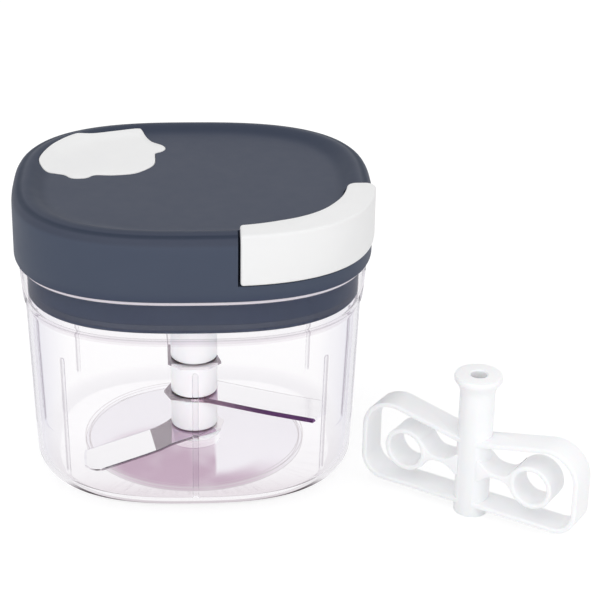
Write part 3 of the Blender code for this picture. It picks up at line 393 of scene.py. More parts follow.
class Nodes:
    """A node tree with short calls for the nodes that are used here."""

    def __init__(self, tree):
        self.tree = tree

    def node(self, kind, **settings):
        made = self.tree.nodes.new(kind)
        for key, value in settings.items():
            setattr(made, key, value)
        return made

    def give(self, socket, value):
        """Link an input to another node's output, or set it to a plain value."""
        if isinstance(value, bpy.types.NodeSocket):
            self.tree.links.new(value, socket)
        else:
            socket.default_value = value

    def feed(self, node, **values):
        """Give a node its inputs by name, with an underscore for each space."""
        for name, value in values.items():
            self.give(node.inputs[name.replace("_", " ")], value)
        return node

    def place(self, scale=(1.0, 1.0, 1.0), turn=0.0):
        """Coordinates fixed to the piece, in metres, turned about Z and then scaled."""
        turned = self.node("ShaderNodeVectorRotate", rotation_type="Z_AXIS")
        self.feed(turned, Vector=self.node("ShaderNodeTexCoord").outputs["Object"], Angle=turn)
        stretched = self.node("ShaderNodeVectorMath", operation="MULTIPLY")
        self.give(stretched.inputs[0], turned.outputs[0])
        self.give(stretched.inputs[1], scale)
        return stretched.outputs[0]

    def noise(self, vector, scale, detail=3.0, roughness=0.5):
        made = self.node("ShaderNodeTexNoise")
        self.feed(made, Vector=vector, Scale=scale, Detail=detail, Roughness=roughness)
        return made.outputs["Fac"]

    def spread(self, value, low, high, start=0.0, end=1.0, smooth=False):
        made = self.node("ShaderNodeMapRange", interpolation_type="SMOOTHSTEP" if smooth else "LINEAR")
        self.feed(made, Value=value, From_Min=start, From_Max=end, To_Min=low, To_Max=high)
        return made.outputs["Result"]

    def rising(self, value, start, end):
        return self.spread(value, 0.0, 1.0, start, end, smooth=True)

    def falling(self, value, start, end):
        return self.spread(value, 1.0, 0.0, start, end, smooth=True)

    def compute(self, first, second, operation="ADD"):
        made = self.node("ShaderNodeMath", operation=operation)
        self.give(made.inputs[0], first)
        self.give(made.inputs[1], second)
        return made.outputs[0]

    def times(self, first, second):
        return self.compute(first, second, "MULTIPLY")

    def mix(self, share, first, second):
        made = self.node("ShaderNodeMix", data_type="RGBA")
        self.give(made.inputs[0], share)
        for socket, value in zip((made.inputs[6], made.inputs[7]), (first, second)):
            self.give(socket, (*value, 1.0) if isinstance(value, tuple) else value)
        return made.outputs[2]

    def choose(self, share, first, second):
        """The first surface where share is 0 and the second where it is 1."""
        made = self.node("ShaderNodeMixShader")
        for socket, value in zip(made.inputs, (share, first, second)):
            self.give(socket, value)
        return made.outputs[0]

    def bump(self, height, strength, distance):
        made = self.node("ShaderNodeBump")
        self.feed(made, Height=height, Strength=strength, Distance=distance * MM)
        return made.outputs["Normal"]

    def axes(self, vector):
        return self.feed(self.node("ShaderNodeSeparateXYZ"), Vector=vector).outputs

    def band(self, value, middle, core, fade):
        """1 within core of the middle and 0 beyond fade."""
        away = self.compute(self.compute(value, middle, "SUBTRACT"), 0.0, "ABSOLUTE")
        return self.falling(away, core, fade)

    def oval_share(self, axes, halves, squareness):
        """How far a point is out from the axis, where 1 is on the oval with these half sizes in metres."""
        terms = []
        for socket, half in zip(axes[:2], halves):
            share = self.compute(self.compute(socket, half, "DIVIDE"), 0.0, "ABSOLUTE")
            terms.append(self.compute(share, squareness, "POWER"))
        return self.compute(self.compute(*terms), 1.0 / squareness, "POWER")

    def bowl_share(self, axes):
        """The same for the bowl's outer wall, which widens with height."""
        halves = [self.spread(axes[2], low * MM, high * MM, 0.0, BOWL_BODY_TOP * MM)
                  for low, high in zip(BOWL_FOOT_HALF, BOWL_TOP_HALF)]
        return self.oval_share(axes, halves, BOWL_SQUARENESS)


class Shader(Nodes):
    """A material with its nodes."""

    def __init__(self, name):
        self.material = bpy.data.materials.new(name)
        self.material.use_nodes = True
        super().__init__(self.material.node_tree)
        self.bsdf = self.tree.nodes["Principled BSDF"]
        self.output = self.tree.nodes["Material Output"]

    def put(self, **values):
        self.feed(self.bsdf, **values)


def in_metres(sizes):
    return [size * MM for size in sizes]


def moulded(name, colour, shade, roughness, grain, gloss, scatter=0.0):
    """Moulded plastic: slow colour drift, fine grain, slightly uneven gloss, some light scattered inside."""
    s = Shader(name)
    where = s.place()
    drift = s.spread(s.noise(where, 45.0, 2.0), 0.0, 1.0, 0.3, 0.7)
    s.put(Base_Color=s.mix(drift, colour, shade), Specular_IOR_Level=gloss,
          Roughness=s.spread(s.noise(where, 260.0, 4.0), roughness - 0.04, roughness + 0.05),
          Normal=s.bump(s.noise(where, 2600.0, 2.0), grain, 0.02))
    if scatter:
        s.put(Subsurface_Weight=scatter, Subsurface_Scale=0.004)
    return s.material


def lid_plastic():
    """Slate plastic for the lid, with painted shade: darker in the crease round its top and down the dish's
    slope, darker on its top and darker towards its bottom edge.
    """
    s = Shader("lid_slate")
    where = s.place()
    axes = s.axes(where)
    reach = s.oval_share(axes, in_metres(LID_HALF), LID_SQUARENESS)
    high = s.rising(axes[2], 0.0965, 0.098)
    # Painted shade: the crease round the top, and less of it down the dish's slope, only on the top.
    crease = s.band(reach, 1.0 - CREASE_INSET / LID_HALF[0] * 1.03, 0.004, 0.026)
    slope = s.times(s.band(reach, 1.0 - SLOPE_INSET / LID_HALF[0], 0.02, 0.085), 0.6)
    dark = s.times(s.compute(crease, slope, "MAXIMUM"), high)
    drift = s.spread(s.noise(where, 30.0, 2.0), 0.0, 1.0, 0.3, 0.7)
    slate = s.mix(drift, (0.056, 0.07, 0.107), (0.061, 0.076, 0.114))
    # Painted shade: the top a shade darker than the sides, and the wall darker towards its bottom edge.
    slate = s.mix(s.times(high, 0.85), slate, (0.048, 0.057, 0.087))
    slate = s.mix(s.falling(axes[2], LID_BOTTOM * MM, 0.0815), slate, (0.048, 0.061, 0.101))
    s.put(Base_Color=s.mix(dark, slate, (0.018, 0.028, 0.054)), Specular_IOR_Level=0.2,
          Roughness=s.spread(s.noise(where, 220.0, 4.0), 0.5, 0.6),
          Normal=s.bump(s.noise(where, 2400.0, 2.0), 0.3, 0.02))
    return s.material


def floor_tint_and_painted_light(s, where, axes):
    """The bowl's floor: a pale tint with painted light, a mauve painted reflection of the hub and the lid's
    underside in front inside its ring, painted shade greyer towards the front outside it, and thin painted
    dark lines on the ring's edges.
    """
    radius = s.oval_share(axes, in_metres((RECESS_RADIUS, RECESS_RADIUS)), 2.0)
    drift = s.spread(s.noise(where, 40.0, 2.0), -0.12, 0.12)
    # Painted reflection: a mauve patch in front of the hub under the lower blade and a mauve band inside the
    # ring's front, where the hub and the lid's dark underside are mirrored in the floor.
    spot = s.node("ShaderNodeVectorMath", operation="DISTANCE")
    s.give(spot.inputs[0], where)
    s.give(spot.inputs[1], (-0.009, -0.019, 0.002))
    near = s.falling(s.compute(spot.outputs["Value"], s.times(drift, 0.03)), 0.015, 0.028)
    near = s.times(near, s.falling(axes[0], 0.0066, 0.0078))
    front_reflection = s.times(s.band(radius, 0.9, 0.08, 0.2), s.falling(axes[1], -0.036, -0.016))
    mauve = s.compute(near, front_reflection, "MAXIMUM")
    # Painted shade: outside the ring the floor turns greyer towards the front and darker still at its front
    # edge.
    outside_tint_and_shade = s.mix(s.spread(axes[1], 1.0, 0.0, -0.03, 0.0), (0.95, 0.94, 0.955), (0.85, 0.83, 0.85))
    outside_tint_and_shade = s.mix(s.falling(axes[1], -0.044, -0.028), outside_tint_and_shade, (0.68, 0.62, 0.66))
    reflection_mottle = s.rising(s.noise(where, 48.0, 2.0), 0.46, 0.66)
    reflection_colour = s.mix(reflection_mottle, (0.59, 0.45, 0.55), (0.7, 0.6, 0.68))
    beyond = s.spread(radius, 0.0, 1.0, 0.98, 1.02)
    tint = s.mix(beyond, s.mix(mauve, (0.91, 0.89, 0.925), reflection_colour), outside_tint_and_shade)
    # Painted dark lines on the ring's two edges, where light bends at the recess.
    for share in (0.965, 1.0):
        tint = s.mix(s.band(radius, share, 0.002, 0.009), tint, (0.64, 0.6, 0.62))
    return tint


def wall_tint_and_painted_light(s, axes, rim):
    """The bowl's wall: painted lilac shade at its ends, greyer on the collar, a painted glow on the rim, thin
    painted dark lines on the collar's step and on both sides of each rib, and the ribs painted grey.
    """
    # Painted shade: the wall's ends, seen edge on, are made lilac grey.
    side = s.rising(s.compute(axes[0], 0.0, "ABSOLUTE"), 0.045, 0.052)
    wall = s.mix(side, (1.0, 0.995, 1.0), (0.94, 0.935, 0.96))
    collar = s.spread(axes[2], 0.0, 1.0, BOWL_BODY_TOP * MM, (BOWL_BODY_TOP + 0.3) * MM)
    wall = s.mix(collar, wall, (0.94, 0.93, 0.945))
    # Painted glow: the rim is made pinkish white.
    wall = s.mix(rim, wall, (0.98, 0.91, 0.97))
    # Painted dark lines on the collar's step and its two edges, where light bends in the plastic.
    step_middle = (BOWL_BODY_TOP + COLLAR_STEP_TOP) / 2
    for height, core, fade, shade in ((step_middle, 0.6, 1.0, (0.84, 0.8, 0.84)),
                                      (BOWL_BODY_TOP, 0.1, 0.4, (0.86, 0.82, 0.85)),
                                      (COLLAR_STEP_TOP, 0.1, 0.4, (0.6, 0.58, 0.61))):
        wall = s.mix(s.band(axes[2], height * MM, core * MM, fade * MM), wall, shade)
    # Painted light on the ribs: a grey fill, and painted dark lines along both flanks, where light bends
    # through them.
    out = s.bowl_share(axes)
    above_foot = s.spread(axes[2], 0.0, 1.0, 0.0075, 0.0085)
    ribs = s.times(s.spread(out, 1.0, 0.0, 0.961, 0.9655), above_foot)
    painted_rib_lines = s.times(s.band(out, 0.9605, 0.0035, 0.0055), above_foot)
    return s.mix(painted_rib_lines, s.mix(ribs, wall, (0.87, 0.86, 0.88)), (0.58, 0.55, 0.59))


def clear_plastic():
    """Clear plastic: violet in its thickness, tinted floor and wall with painted reflections, painted shade
    and painted dark lines, a painted glow on the collar's rim and a painted shadow line on the foot's front.
    """
    s = Shader("clear_plastic")
    where = s.place()
    axes = s.axes(where)
    floor = s.falling(axes[2], 0.0024, 0.0042)
    # Painted glow: the collar's rim is made a near-opaque pinkish white, as light carried in the plastic
    # lights it up.
    rim = s.rising(axes[2], 0.0764, 0.0768)
    # Painted shadow: a near-black, near-opaque line low round the foot, at its front only.
    sole = s.band(s.oval_share(axes, in_metres(BOWL_FOOT_HALF), BOWL_SQUARENESS), 0.903, 0.014, 0.018)
    low = s.falling(axes[2], 0.0016, 0.0021)
    edge = s.times(s.times(sole, low), s.falling(axes[1], -0.038, -0.029))
    tint = s.mix(floor, wall_tint_and_painted_light(s, axes, rim), floor_tint_and_painted_light(s, where, axes))
    opaque_painted_light = s.compute(s.times(rim, 0.85), s.times(edge, 0.9), "MAXIMUM")
    s.put(Base_Color=s.mix(edge, tint, (0.09, 0.065, 0.075)), Roughness=0.02, IOR=1.02,
          Specular_IOR_Level=0.5, Transmission_Weight=s.compute(1.0, opaque_painted_light, "SUBTRACT"),
          Normal=s.bump(s.noise(where, 70.0, 1.0), 0.05, 0.2))
    passing = s.feed(s.node("ShaderNodeBsdfTransparent"), Color=(0.995, 0.99, 0.995, 1.0))
    shadow = s.node("ShaderNodeLightPath").outputs["Is Shadow Ray"]
    inside = s.node("ShaderNodeVolumeAbsorption")
    s.feed(inside, Color=(0.54, 0.52, 0.57, 1.0), Density=18.0)
    s.feed(s.output, Surface=s.choose(shadow, s.bsdf.outputs[0], passing.outputs[0]),
           Volume=inside.outputs[0])
    return s.material


def blade_steel(name, azimuth, ground, reflection_zones):
    """Bright brushed steel with painted reflections: a dark purple ground edge and darker patches at its
    root, each ending on a slant; and a painted grey line along its trailing edge.
    """
    s = Shader(name)
    lines = s.noise(s.place((14.0, 1500.0, 1500.0), -azimuth), 1.0, 3.0, 0.6)
    slow = s.noise(s.place(), 60.0, 2.0)
    axes = s.axes(s.place(turn=-azimuth))
    distance = axes[0]
    offset = s.times(axes[1], -1.0)
    tint = s.mix(lines, (0.97, 0.965, 0.975), (0.94, 0.935, 0.945))
    # Painted reflections at the root, each ending on a slant.
    for end, slant, colour in reflection_zones[::-1]:
        along = s.compute(distance, s.times(offset, slant))
        within = s.spread(along, 1.0, 0.0, (end - 0.15) * MM, (end + 0.15) * MM)
        tint = s.mix(within, tint, colour)
    # Painted shade: a grey line along the trailing edge, past the hub.
    past_hub = s.spread(distance, 0.0, 1.0, 0.003, 0.005)
    back = s.spread(offset, 1.0, 0.0, (0.2 - BLADE_TRAILING) * MM, (0.45 - BLADE_TRAILING) * MM)
    tint = s.mix(s.times(back, past_hub), tint, (0.45, 0.42, 0.45))
    # Painted reflection of the dark lid on the ground leading edge, made less metallic so the purple shows.
    front = s.spread(offset, 0.0, 1.0, (BLADE_LEADING - ground - 0.1) * MM, (BLADE_LEADING - ground) * MM)
    front = s.times(front, past_hub)
    edge = s.mix(s.spread(distance, 0.0, 1.0, 0.006, 0.03), (0.3, 0.2, 0.26), (0.17, 0.07, 0.2))
    s.put(Base_Color=s.mix(front, tint, edge), Metallic=s.spread(front, 1.0, 0.3),
          Roughness=s.compute(s.spread(lines, 0.1, 0.2), s.spread(slow, -0.03, 0.03)),
          Normal=s.bump(lines, 0.12, 0.01))
    return s.material


def turned_steel(name, colour, roughness):
    """Steel turned on a lathe, with fine rings along its height."""
    s = Shader(name)
    rings = s.noise(s.place((60.0, 60.0, 4000.0)), 1.0, 2.0)
    s.put(Base_Color=s.mix(rings, colour, tuple(value * 0.9 for value in colour)), Metallic=1.0,
          Roughness=s.spread(rings, roughness - 0.06, roughness + 0.08), Normal=s.bump(rings, 0.15, 0.01))
    return s.material


def braided(name, colour, shade):
    """Braided cord: two sets of strands that cross on the slant."""
    s = Shader(name)
    waves = []
    for turn in (-0.8, 0.8):
        wave = s.node("ShaderNodeTexWave", wave_type="BANDS", bands_direction="X")
        where = s.place(turn=radians(-PULL_AZIMUTH) + turn)
        waves.append(s.feed(wave, Vector=where, Scale=520.0, Distortion=0.6).outputs["Fac"])
    weave = s.compute(waves[0], waves[1], "MAXIMUM")
    s.put(Base_Color=s.mix(weave, shade, colour), Normal=s.bump(weave, 0.6, 0.15), Roughness=0.8,
          Sheen_Weight=0.2)
    return s.material


def rubbery(name, colour):
    s = Shader(name)
    where = s.place()
    s.put(Base_Color=s.mix(s.noise(where, 120.0), colour, tuple(value * 0.8 for value in colour)),
          Roughness=s.spread(s.noise(where, 900.0), 0.55, 0.7),
          Normal=s.bump(s.noise(where, 3000.0), 0.2, 0.02))
    return s.material


slate = lid_plastic()
clear = clear_plastic()
pale = moulded("handle_pale", (0.83, 0.83, 0.835), (0.855, 0.855, 0.855), 0.5, 0.15, 0.3)
white = moulded("hub_white", (0.955, 0.955, 0.965), (0.97, 0.97, 0.975), 0.38, 0.1, 0.4, 0.08)
whisk_white = moulded("whisk_white", (0.945, 0.95, 0.965), (0.96, 0.965, 0.98), 0.36, 0.08, 0.4, 0.1)
skirt = moulded("skirt_slate", (0.042, 0.053, 0.087), (0.047, 0.06, 0.094), 0.5, 0.3, 0.3)
steel = turned_steel("turned_steel", (0.62, 0.62, 0.64), 0.28)
spring_steel = turned_steel("spring_steel", (0.32, 0.35, 0.42), 0.32)
seal = rubbery("seal_silicone", (0.06, 0.07, 0.1))
cord = braided("cord_nylon", (0.78, 0.78, 0.79), (0.5, 0.5, 0.53))


# Bowl


def bowl_angles():
    """Angles round the bowl, with more of them across each rib, and how much each has of a rib's height."""
    rib_shares = (-1.0, -0.94, -0.75, -0.4, 0.0, 0.4, 0.75, 0.94, 1.0)
    placed = []
    half_turns = []
    for degrees in RIB_ANGLES:
        middle = radians(degrees)
        reach = oval_radius(middle, bowl_halves(RIB_TOP / 2), BOWL_SQUARENESS) - BOWL_WALL
        half = asin(RIB_WIDTH / 2 / reach)
        half_turns.append((middle, half))
        for share in rib_shares:
            placed.append(((middle + share * half) % (2.0 * pi), sqrt(1.0 - share * share)))
    for angle in EVEN:
        clear_of = all(abs(remainder(angle - middle, 2.0 * pi)) > 1.4 * half
                       for middle, half in half_turns)
        if clear_of:
            placed.append((angle, 0.0))
    placed.sort()
    return [angle for angle, _ in placed], [share for _, share in placed]


def foot_profile(wall, bottom, steps=9):
    profile = []
    for index in range(steps + 1):
        turn = radians(90.0) * index / steps
        inset = wall + (BOWL_FOOT_RADIUS - wall) * (1.0 - sin(turn))
        profile.append((inset, bottom + (BOWL_FOOT_RADIUS - bottom) * (1.0 - cos(turn))))
    return profile


def raised(ring):
    return [point + Vector((0.0, 0.0, STEP_EDGE)) for point in ring]


def make_bowl():
    angles, ribs = bowl_angles()
    sole = ((FOOT_PAD_RADIUS, 0.0), (FOOT_PAD_RADIUS + RECESS_DEPTH, RECESS_DEPTH),
            (RECESS_RADIUS - RECESS_EDGE, RECESS_DEPTH),
            (RECESS_RADIUS - RECESS_EDGE * 0.8, RECESS_DEPTH * 0.9), (RECESS_RADIUS, 0.0))
    rings = [round_ring(radius, z, angles) for radius, z in sole]
    rings += [bowl_ring(inset, z, angles) for inset, z in foot_profile(0.0, 0.0)]
    rings += [bowl_ring(0.0, z, angles) for z in (25.0, 45.0, BOWL_BODY_TOP - 0.6)]
    under = bowl_ring(0.0, BOWL_BODY_TOP, angles)
    over = lid_ring(COLLAR_FOOT_INSET, COLLAR_STEP_TOP, angles)
    rings += [between(under, over, share) for share in (0.05, 0.3, 0.7, 0.9)]
    rings.append(raised(over))
    rim = ((COLLAR_RIM_INSET, COLLAR_TOP - RIM_EDGE),
           (COLLAR_RIM_INSET + RIM_EDGE * 0.3, COLLAR_TOP - RIM_EDGE * 0.3),
           (COLLAR_RIM_INSET + RIM_EDGE, COLLAR_TOP), (COLLAR_INNER_INSET - RIM_EDGE * 0.6, COLLAR_TOP),
           (COLLAR_INNER_INSET, COLLAR_TOP - RIM_EDGE * 0.6))
    rings += [lid_ring(inset, z, angles) for inset, z in rim]
    over = lid_ring(COLLAR_INNER_INSET, COLLAR_STEP_TOP + BOWL_WALL / 2, angles)
    under = bowl_ring(BOWL_WALL, BOWL_BODY_TOP + BOWL_WALL / 2, angles)
    rings.append(raised(over))
    rings += [between(over, under, share) for share in (0.1, 0.5, 0.9)]
    rings.append(bowl_ring(BOWL_WALL, BOWL_BODY_TOP, angles))
    for drop in RIB_DROPS:
        away = (1.0 - drop * 2.0 / RIB_WIDTH) ** 2
        bumps = [RIB_HEIGHT * sqrt(max(share ** 2 - away, 0.0)) for share in ribs]
        rings.append(bowl_ring(BOWL_WALL, RIB_TOP - drop, angles, bumps))
    bumps = [RIB_HEIGHT * share for share in ribs]
    inner = [(BOWL_WALL, 35.0), (BOWL_WALL, 20.0)] + foot_profile(BOWL_WALL, BOWL_FLOOR)[::-1]
    rings += [bowl_ring(inset, z, angles, bumps) for inset, z in inner]
    dip = BOWL_FLOOR - FLOOR_DIP
    seat = PIN_RADIUS + GAP
    floor = ((RECESS_RADIUS + 0.3, BOWL_FLOOR), (RECESS_RADIUS - RECESS_EDGE, dip),
             (BOSS_RADIUS + BOSS_RISE + 2.0, dip), (BOSS_RADIUS + BOSS_RISE, BOWL_FLOOR),
             (BOSS_RADIUS, BOWL_FLOOR + BOSS_RISE), (seat, BOWL_FLOOR + BOSS_RISE), (seat, PIN_SEAT_FLOOR))
    rings += [round_ring(radius, z, angles) for radius, z in floor]
    piece(make_object("bowl_clear", loft(rings)), "bowl", "clear", clear, "bowl")


# Lid

LID_PROFILE = (
    (0.6, 77.9), (0.2, 78.05), (0.0, 78.5), (0.0, 84.0), (0.0, 90.0), (0.0, 94.4), (0.03, 95.9), (0.16, 97.1),
    (0.42, 98.1), (0.85, 98.85), (1.4, 99.3), (2.0, 99.5), (2.5, 99.52), (3.0, 99.68), (3.6, 99.98),
    (4.3, 100.21), (5.0, 100.3), (5.9, 100.2), (7.0, 99.85), (8.3, 99.2), (9.6, 98.55), (10.9, 98.12),
    (12.2, 97.94), (14.0, 97.9),
)


def lid_height(x, y):
    """Height of the lid's top above a point, read from its profile."""
    low = 0.0
    high = LID_HALF[1] - CUT_PAST
    for _ in range(40):
        middle = (low + high) / 2
        across = abs(x / (LID_HALF[0] - middle)) ** LID_SQUARENESS
        along = abs(y / (LID_HALF[1] - middle)) ** LID_SQUARENESS
        if across + along > 1.0:
            high = middle
        else:
            low = middle
    profile = LID_PROFILE[5:]
    for (inset, z), (next_inset, next_z) in zip(profile, profile[1:]):
        if low <= next_inset:
            return z + (next_z - z) * max(low - inset, 0.0) / (next_inset - inset)
    return DISH_FLOOR


def corner_arc(inset, front_end_x, side_end_y, steps):
    halves = (LID_HALF[0] - inset, LID_HALF[1] - inset)
    n = LID_SQUARENESS
    front_y = halves[1] * (1.0 - (front_end_x / halves[0]) ** n) ** (1.0 / n)
    side_x = halves[0] * (1.0 - (-side_end_y / halves[1]) ** n) ** (1.0 / n)
    first = atan2(-front_y, front_end_x)
    last = atan2(side_end_y, side_x)
    points = []
    for index in range(steps + 1):
        angle = first + (last - first) * index / steps
        radius = oval_radius(angle, halves, n)
        points.append((radius * cos(angle), radius * sin(angle)))
    return points


def round_end(outer, inner, radius):
    """An outline along two arcs, with its far end's two corners rounded."""
    corners = []
    for arc in (outer, inner):
        end = Vector(arc[-1])
        corners.append([(x, y, 0.0) for x, y in arc if (Vector((x, y)) - end).length > 1.15 * radius])
        corners[-1].append((end.x, end.y, radius))
    return rounded_path(corners[0] + corners[1][::-1])


def corner_block(outer_inset, inner_inset, front_room, side_room, bottom, top, steps=40):
    front = HANDLE_FRONT_END_X - front_room
    side = HANDLE_SIDE_END_Y + side_room
    outer = corner_arc(outer_inset, front, side, steps)
    inner = corner_arc(inner_inset, front, side, steps)
    return prism(round_end(outer, inner, HANDLE_CORNER_RADIUS + side_room), bottom, top)


def pull_point(distance, z=CORD_HEIGHT):
    return polar(distance, radians(PULL_AZIMUTH), z)


def lid_reach(inset):
    return oval_radius(radians(PULL_AZIMUTH), (LID_HALF[0] - inset, LID_HALF[1] - inset), LID_SQUARENESS)


INLAY_POINTS = (
    (-51.9, 13.6), (-51.5, 19.8), (-47.6, 30.6), (-40.6, 39.4), (-38.4, 40.1), (-36.0, 40.6), (-27.0, 43.9),
    (-18.8, 46.0), (-17.8, 45.7), (-14.0, 36.9), (-10.3, 33.2), (-9.2, 30.3), (-10.3, 27.5), (-12.7, 25.4),
    (-12.8, 23.6), (-12.8, 16.6), (-13.9, 12.8), (-19.4, 6.7), (-27.1, 5.0), (-33.0, 5.2), (-35.8, 2.6),
    (-40.4, 2.5), (-43.2, 5.6), (-46.3, 6.9), (-49.3, 8.2),
)


def smooth_outline(points, steps=5):
    """A closed centripetal Catmull-Rom curve through the points."""
    count = len(points)
    result = []
    for index in range(count):
        p0, p1, p2, p3 = (Vector(points[(index + offset) % count]) for offset in (-1, 0, 1, 2))
        t1 = sqrt((p1 - p0).length)
        t2 = t1 + sqrt((p2 - p1).length)
        t3 = t2 + sqrt((p3 - p2).length)
        for step in range(steps):
            t = t1 + (t2 - t1) * step / steps
            along = (t - t1) / (t2 - t1)
            first = p0.lerp(p1, t / t1)
            middle = p1.lerp(p2, along)
            last = p2.lerp(p3, (t - t2) / (t3 - t2))
            result.append(first.lerp(middle, t / t2).lerp(middle.lerp(last, (t - t1) / (t3 - t1)), along))
    return result


def outline_normals(outline):
    """Outward directions at the points of an outline that runs clockwise seen from above."""
    count = len(outline)
    normals = []
    for index in range(count):
        tangent = (outline[(index + 1) % count] - outline[index - 1]).normalized()
        normals.append(Vector((-tangent.y, tangent.x)))
    return normals


def inlay_solid(grow, below, above, edge=0.0):
    """The patch as a plate that follows the lid's top, its upper edge drawn in by edge."""
    outline = smooth_outline(INLAY_POINTS)
    normals = outline_normals(outline)
    centre = sum(outline, Vector((0.0, 0.0))) / len(outline)
    levels = [(share, -below, 0.0) for share in INLAY_SHARES]
    if edge:
        levels += [(1.0, above - edge, 0.0), (1.0, above - edge * 0.3, edge * 0.3)]
    levels += [(share, above, edge) for share in INLAY_SHARES[::-1]]
    rings = []
    for share, lift, drawn_in in levels:
        points = []
        for point, outward in zip(outline, normals):
            spot = centre.lerp(point + outward * (grow - drawn_in), share)
            points.append(Vector((spot.x, spot.y, lid_height(spot.x, spot.y) + lift)))
        rings.append(points)
    bm = loft(rings)
    bmesh.ops.triangulate(bm, faces=bm.faces, quad_method="FIXED")
    return bm


def make_lid():
    shell = make_object("lid_shell", lid_loft(LID_PROFILE))
    hollow = make_object("lid_hollow", lid_loft(
        ((LID_WALL, LID_BOTTOM - CUT_PAST), (LID_WALL, ROOF_UNDERSIDE - LID_WALL),
         (2 * LID_WALL, ROOF_UNDERSIDE))))
    inner = HANDLE_DEPTH + HANDLE_SEAM
    floor = HANDLE_BOTTOM - HANDLE_GAP / 2
    above = LID_CREST + POCKET_WALL
    kept = corner_block(-POCKET_WALL, inner + POCKET_WALL, HANDLE_GAP + POCKET_WALL,
                        HANDLE_SEAM + POCKET_WALL, floor - POCKET_WALL, above)
    cut(hollow, kept)
    cutter = bmesh.new()
    cutter.from_mesh(hollow.data)
    bmesh.ops.scale(cutter, vec=(1 / MM, 1 / MM, 1 / MM), verts=cutter.verts)
    bpy.data.objects.remove(hollow)
    cut(shell, cutter)
    cut(shell, corner_block(-POCKET_WALL, inner, HANDLE_GAP, HANDLE_SEAM, floor, above))
    reach = lid_reach(inner)
    cut(shell, rod(pull_point(reach - 2 * POCKET_WALL), pull_point(reach + POCKET_WALL), CORD_HOLE_RADIUS))
    cut(shell, inlay_solid(INLAY_SEAM, INLAY_DEPTH + GAP, LID_WALL))
    piece(shell, "lid", "navy", slate, "lid_cover")

    patch = make_object("lid_patch", inlay_solid(0.0, INLAY_DEPTH, INLAY_PROUD, INLAY_EDGE))
    piece(patch, "lid", "pale", pale, "lid_inlay")


def make_lid_base():
    outer = BASE_SKIRT_INSET
    inner = outer + BASE_SKIRT_WALL
    groove = outer + SEAL_DEPTH + SEAL_SEAM
    seal_top = SEAL_BOTTOM + SEAL_HEIGHT
    profile = [(outer + 0.7, BASE_BOTTOM), (outer + 0.2, BASE_BOTTOM + 0.2), (outer, BASE_BOTTOM + 0.7)]
    profile += [(outer, SEAL_BOTTOM - SEAL_SEAM), (groove, SEAL_BOTTOM - SEAL_SEAM)]
    profile += [(groove, seal_top + SEAL_SEAM), (outer, seal_top + SEAL_SEAM), (outer, LID_BOTTOM)]
    profile += [(LID_WALL + GAP, LID_BOTTOM), (LID_WALL + GAP, BASE_TOP), (inner, BASE_TOP)]
    profile += [(inner, BASE_FLOOR)]
    base = make_object("lid_plug", lid_loft(profile))
    low = BASE_BOTTOM - CUT_PAST
    high = BASE_FLOOR + CUT_PAST
    cuts = [cylinder(BUSH_HOLE_RADIUS, low, high)]
    wide, depth = SCREW_RECESS
    step = BASE_BOTTOM + depth
    profile = [(0.0, low), (wide, low), (wide, step), (SCREW_HOLE_RADIUS, step), (SCREW_HOLE_RADIUS, high)]
    for place in SCREW_PLACES:
        cuts.append(lathe(profile + [(0.0, high)], 32, place))
    cut(base, merge(cuts))
    piece(base, "lid", "navy", skirt, "lid_base")

    lip = outer + SEAL_DEPTH
    profile = [(lip, SEAL_BOTTOM), (outer, SEAL_BOTTOM), (outer, SEAL_BOTTOM + SEAL_HEIGHT * 0.2)]
    profile += [(outer, seal_top), (lip, seal_top)]
    piece(make_object("lid_seal", lid_loft(profile, closed=True)), "lid", "seal", seal, "seal_ring")


def make_screws():
    """Pan heads with a cross recess, under the lid."""
    head = BASE_BOTTOM + GAP
    wide, height = SCREW_HEAD
    profile = [(0.0, head), (1.6, head + 0.02), (2.4, head + 0.2), (2.8, head + 0.6), (wide, head + 1.0)]
    profile += [(wide, head + height), (SCREW_SHANK_RADIUS, head + height)]
    profile += [(SCREW_SHANK_RADIUS, head + SCREW_LENGTH - 0.1), (0.0, head + SCREW_LENGTH)]
    for number, (x, y) in enumerate(SCREW_PLACES, start=1):
        screw = make_object("base_screw_%d" % number, lathe(profile, 32, (x, y)))
        for half_x, half_y in (SCREW_CROSS, SCREW_CROSS[::-1]):
            cut(screw, prism(rectangle(x, y, half_x, half_y), head - CUT_PAST, head + SCREW_CROSS_DEPTH))
        piece(screw, "lid", "steel", steel, "lid_screw_%d" % number)


# Handle and its cord


def make_handle():
    steps = 48
    outer = corner_arc(-HANDLE_PROUD, HANDLE_FRONT_END_X, HANDLE_SIDE_END_Y, steps)
    inner = []
    for index in range(steps + 1):
        share = index / steps
        rise = min(1.0, 4.0 * share, 3.0 * (1.0 - share))
        depth = HANDLE_END_DEPTH + (HANDLE_DEPTH - HANDLE_END_DEPTH) * rise
        inner.append(corner_arc(depth, HANDLE_FRONT_END_X, HANDLE_SIDE_END_Y, steps)[index])
    outline = round_end(outer, inner, HANDLE_CORNER_RADIUS)
    handle = make_object("pull_grip", prism(outline, HANDLE_BOTTOM, HANDLE_TOP))
    round_edges(handle, HANDLE_EDGE)
    piece(handle, "handle", "pale", pale, "pull_handle")


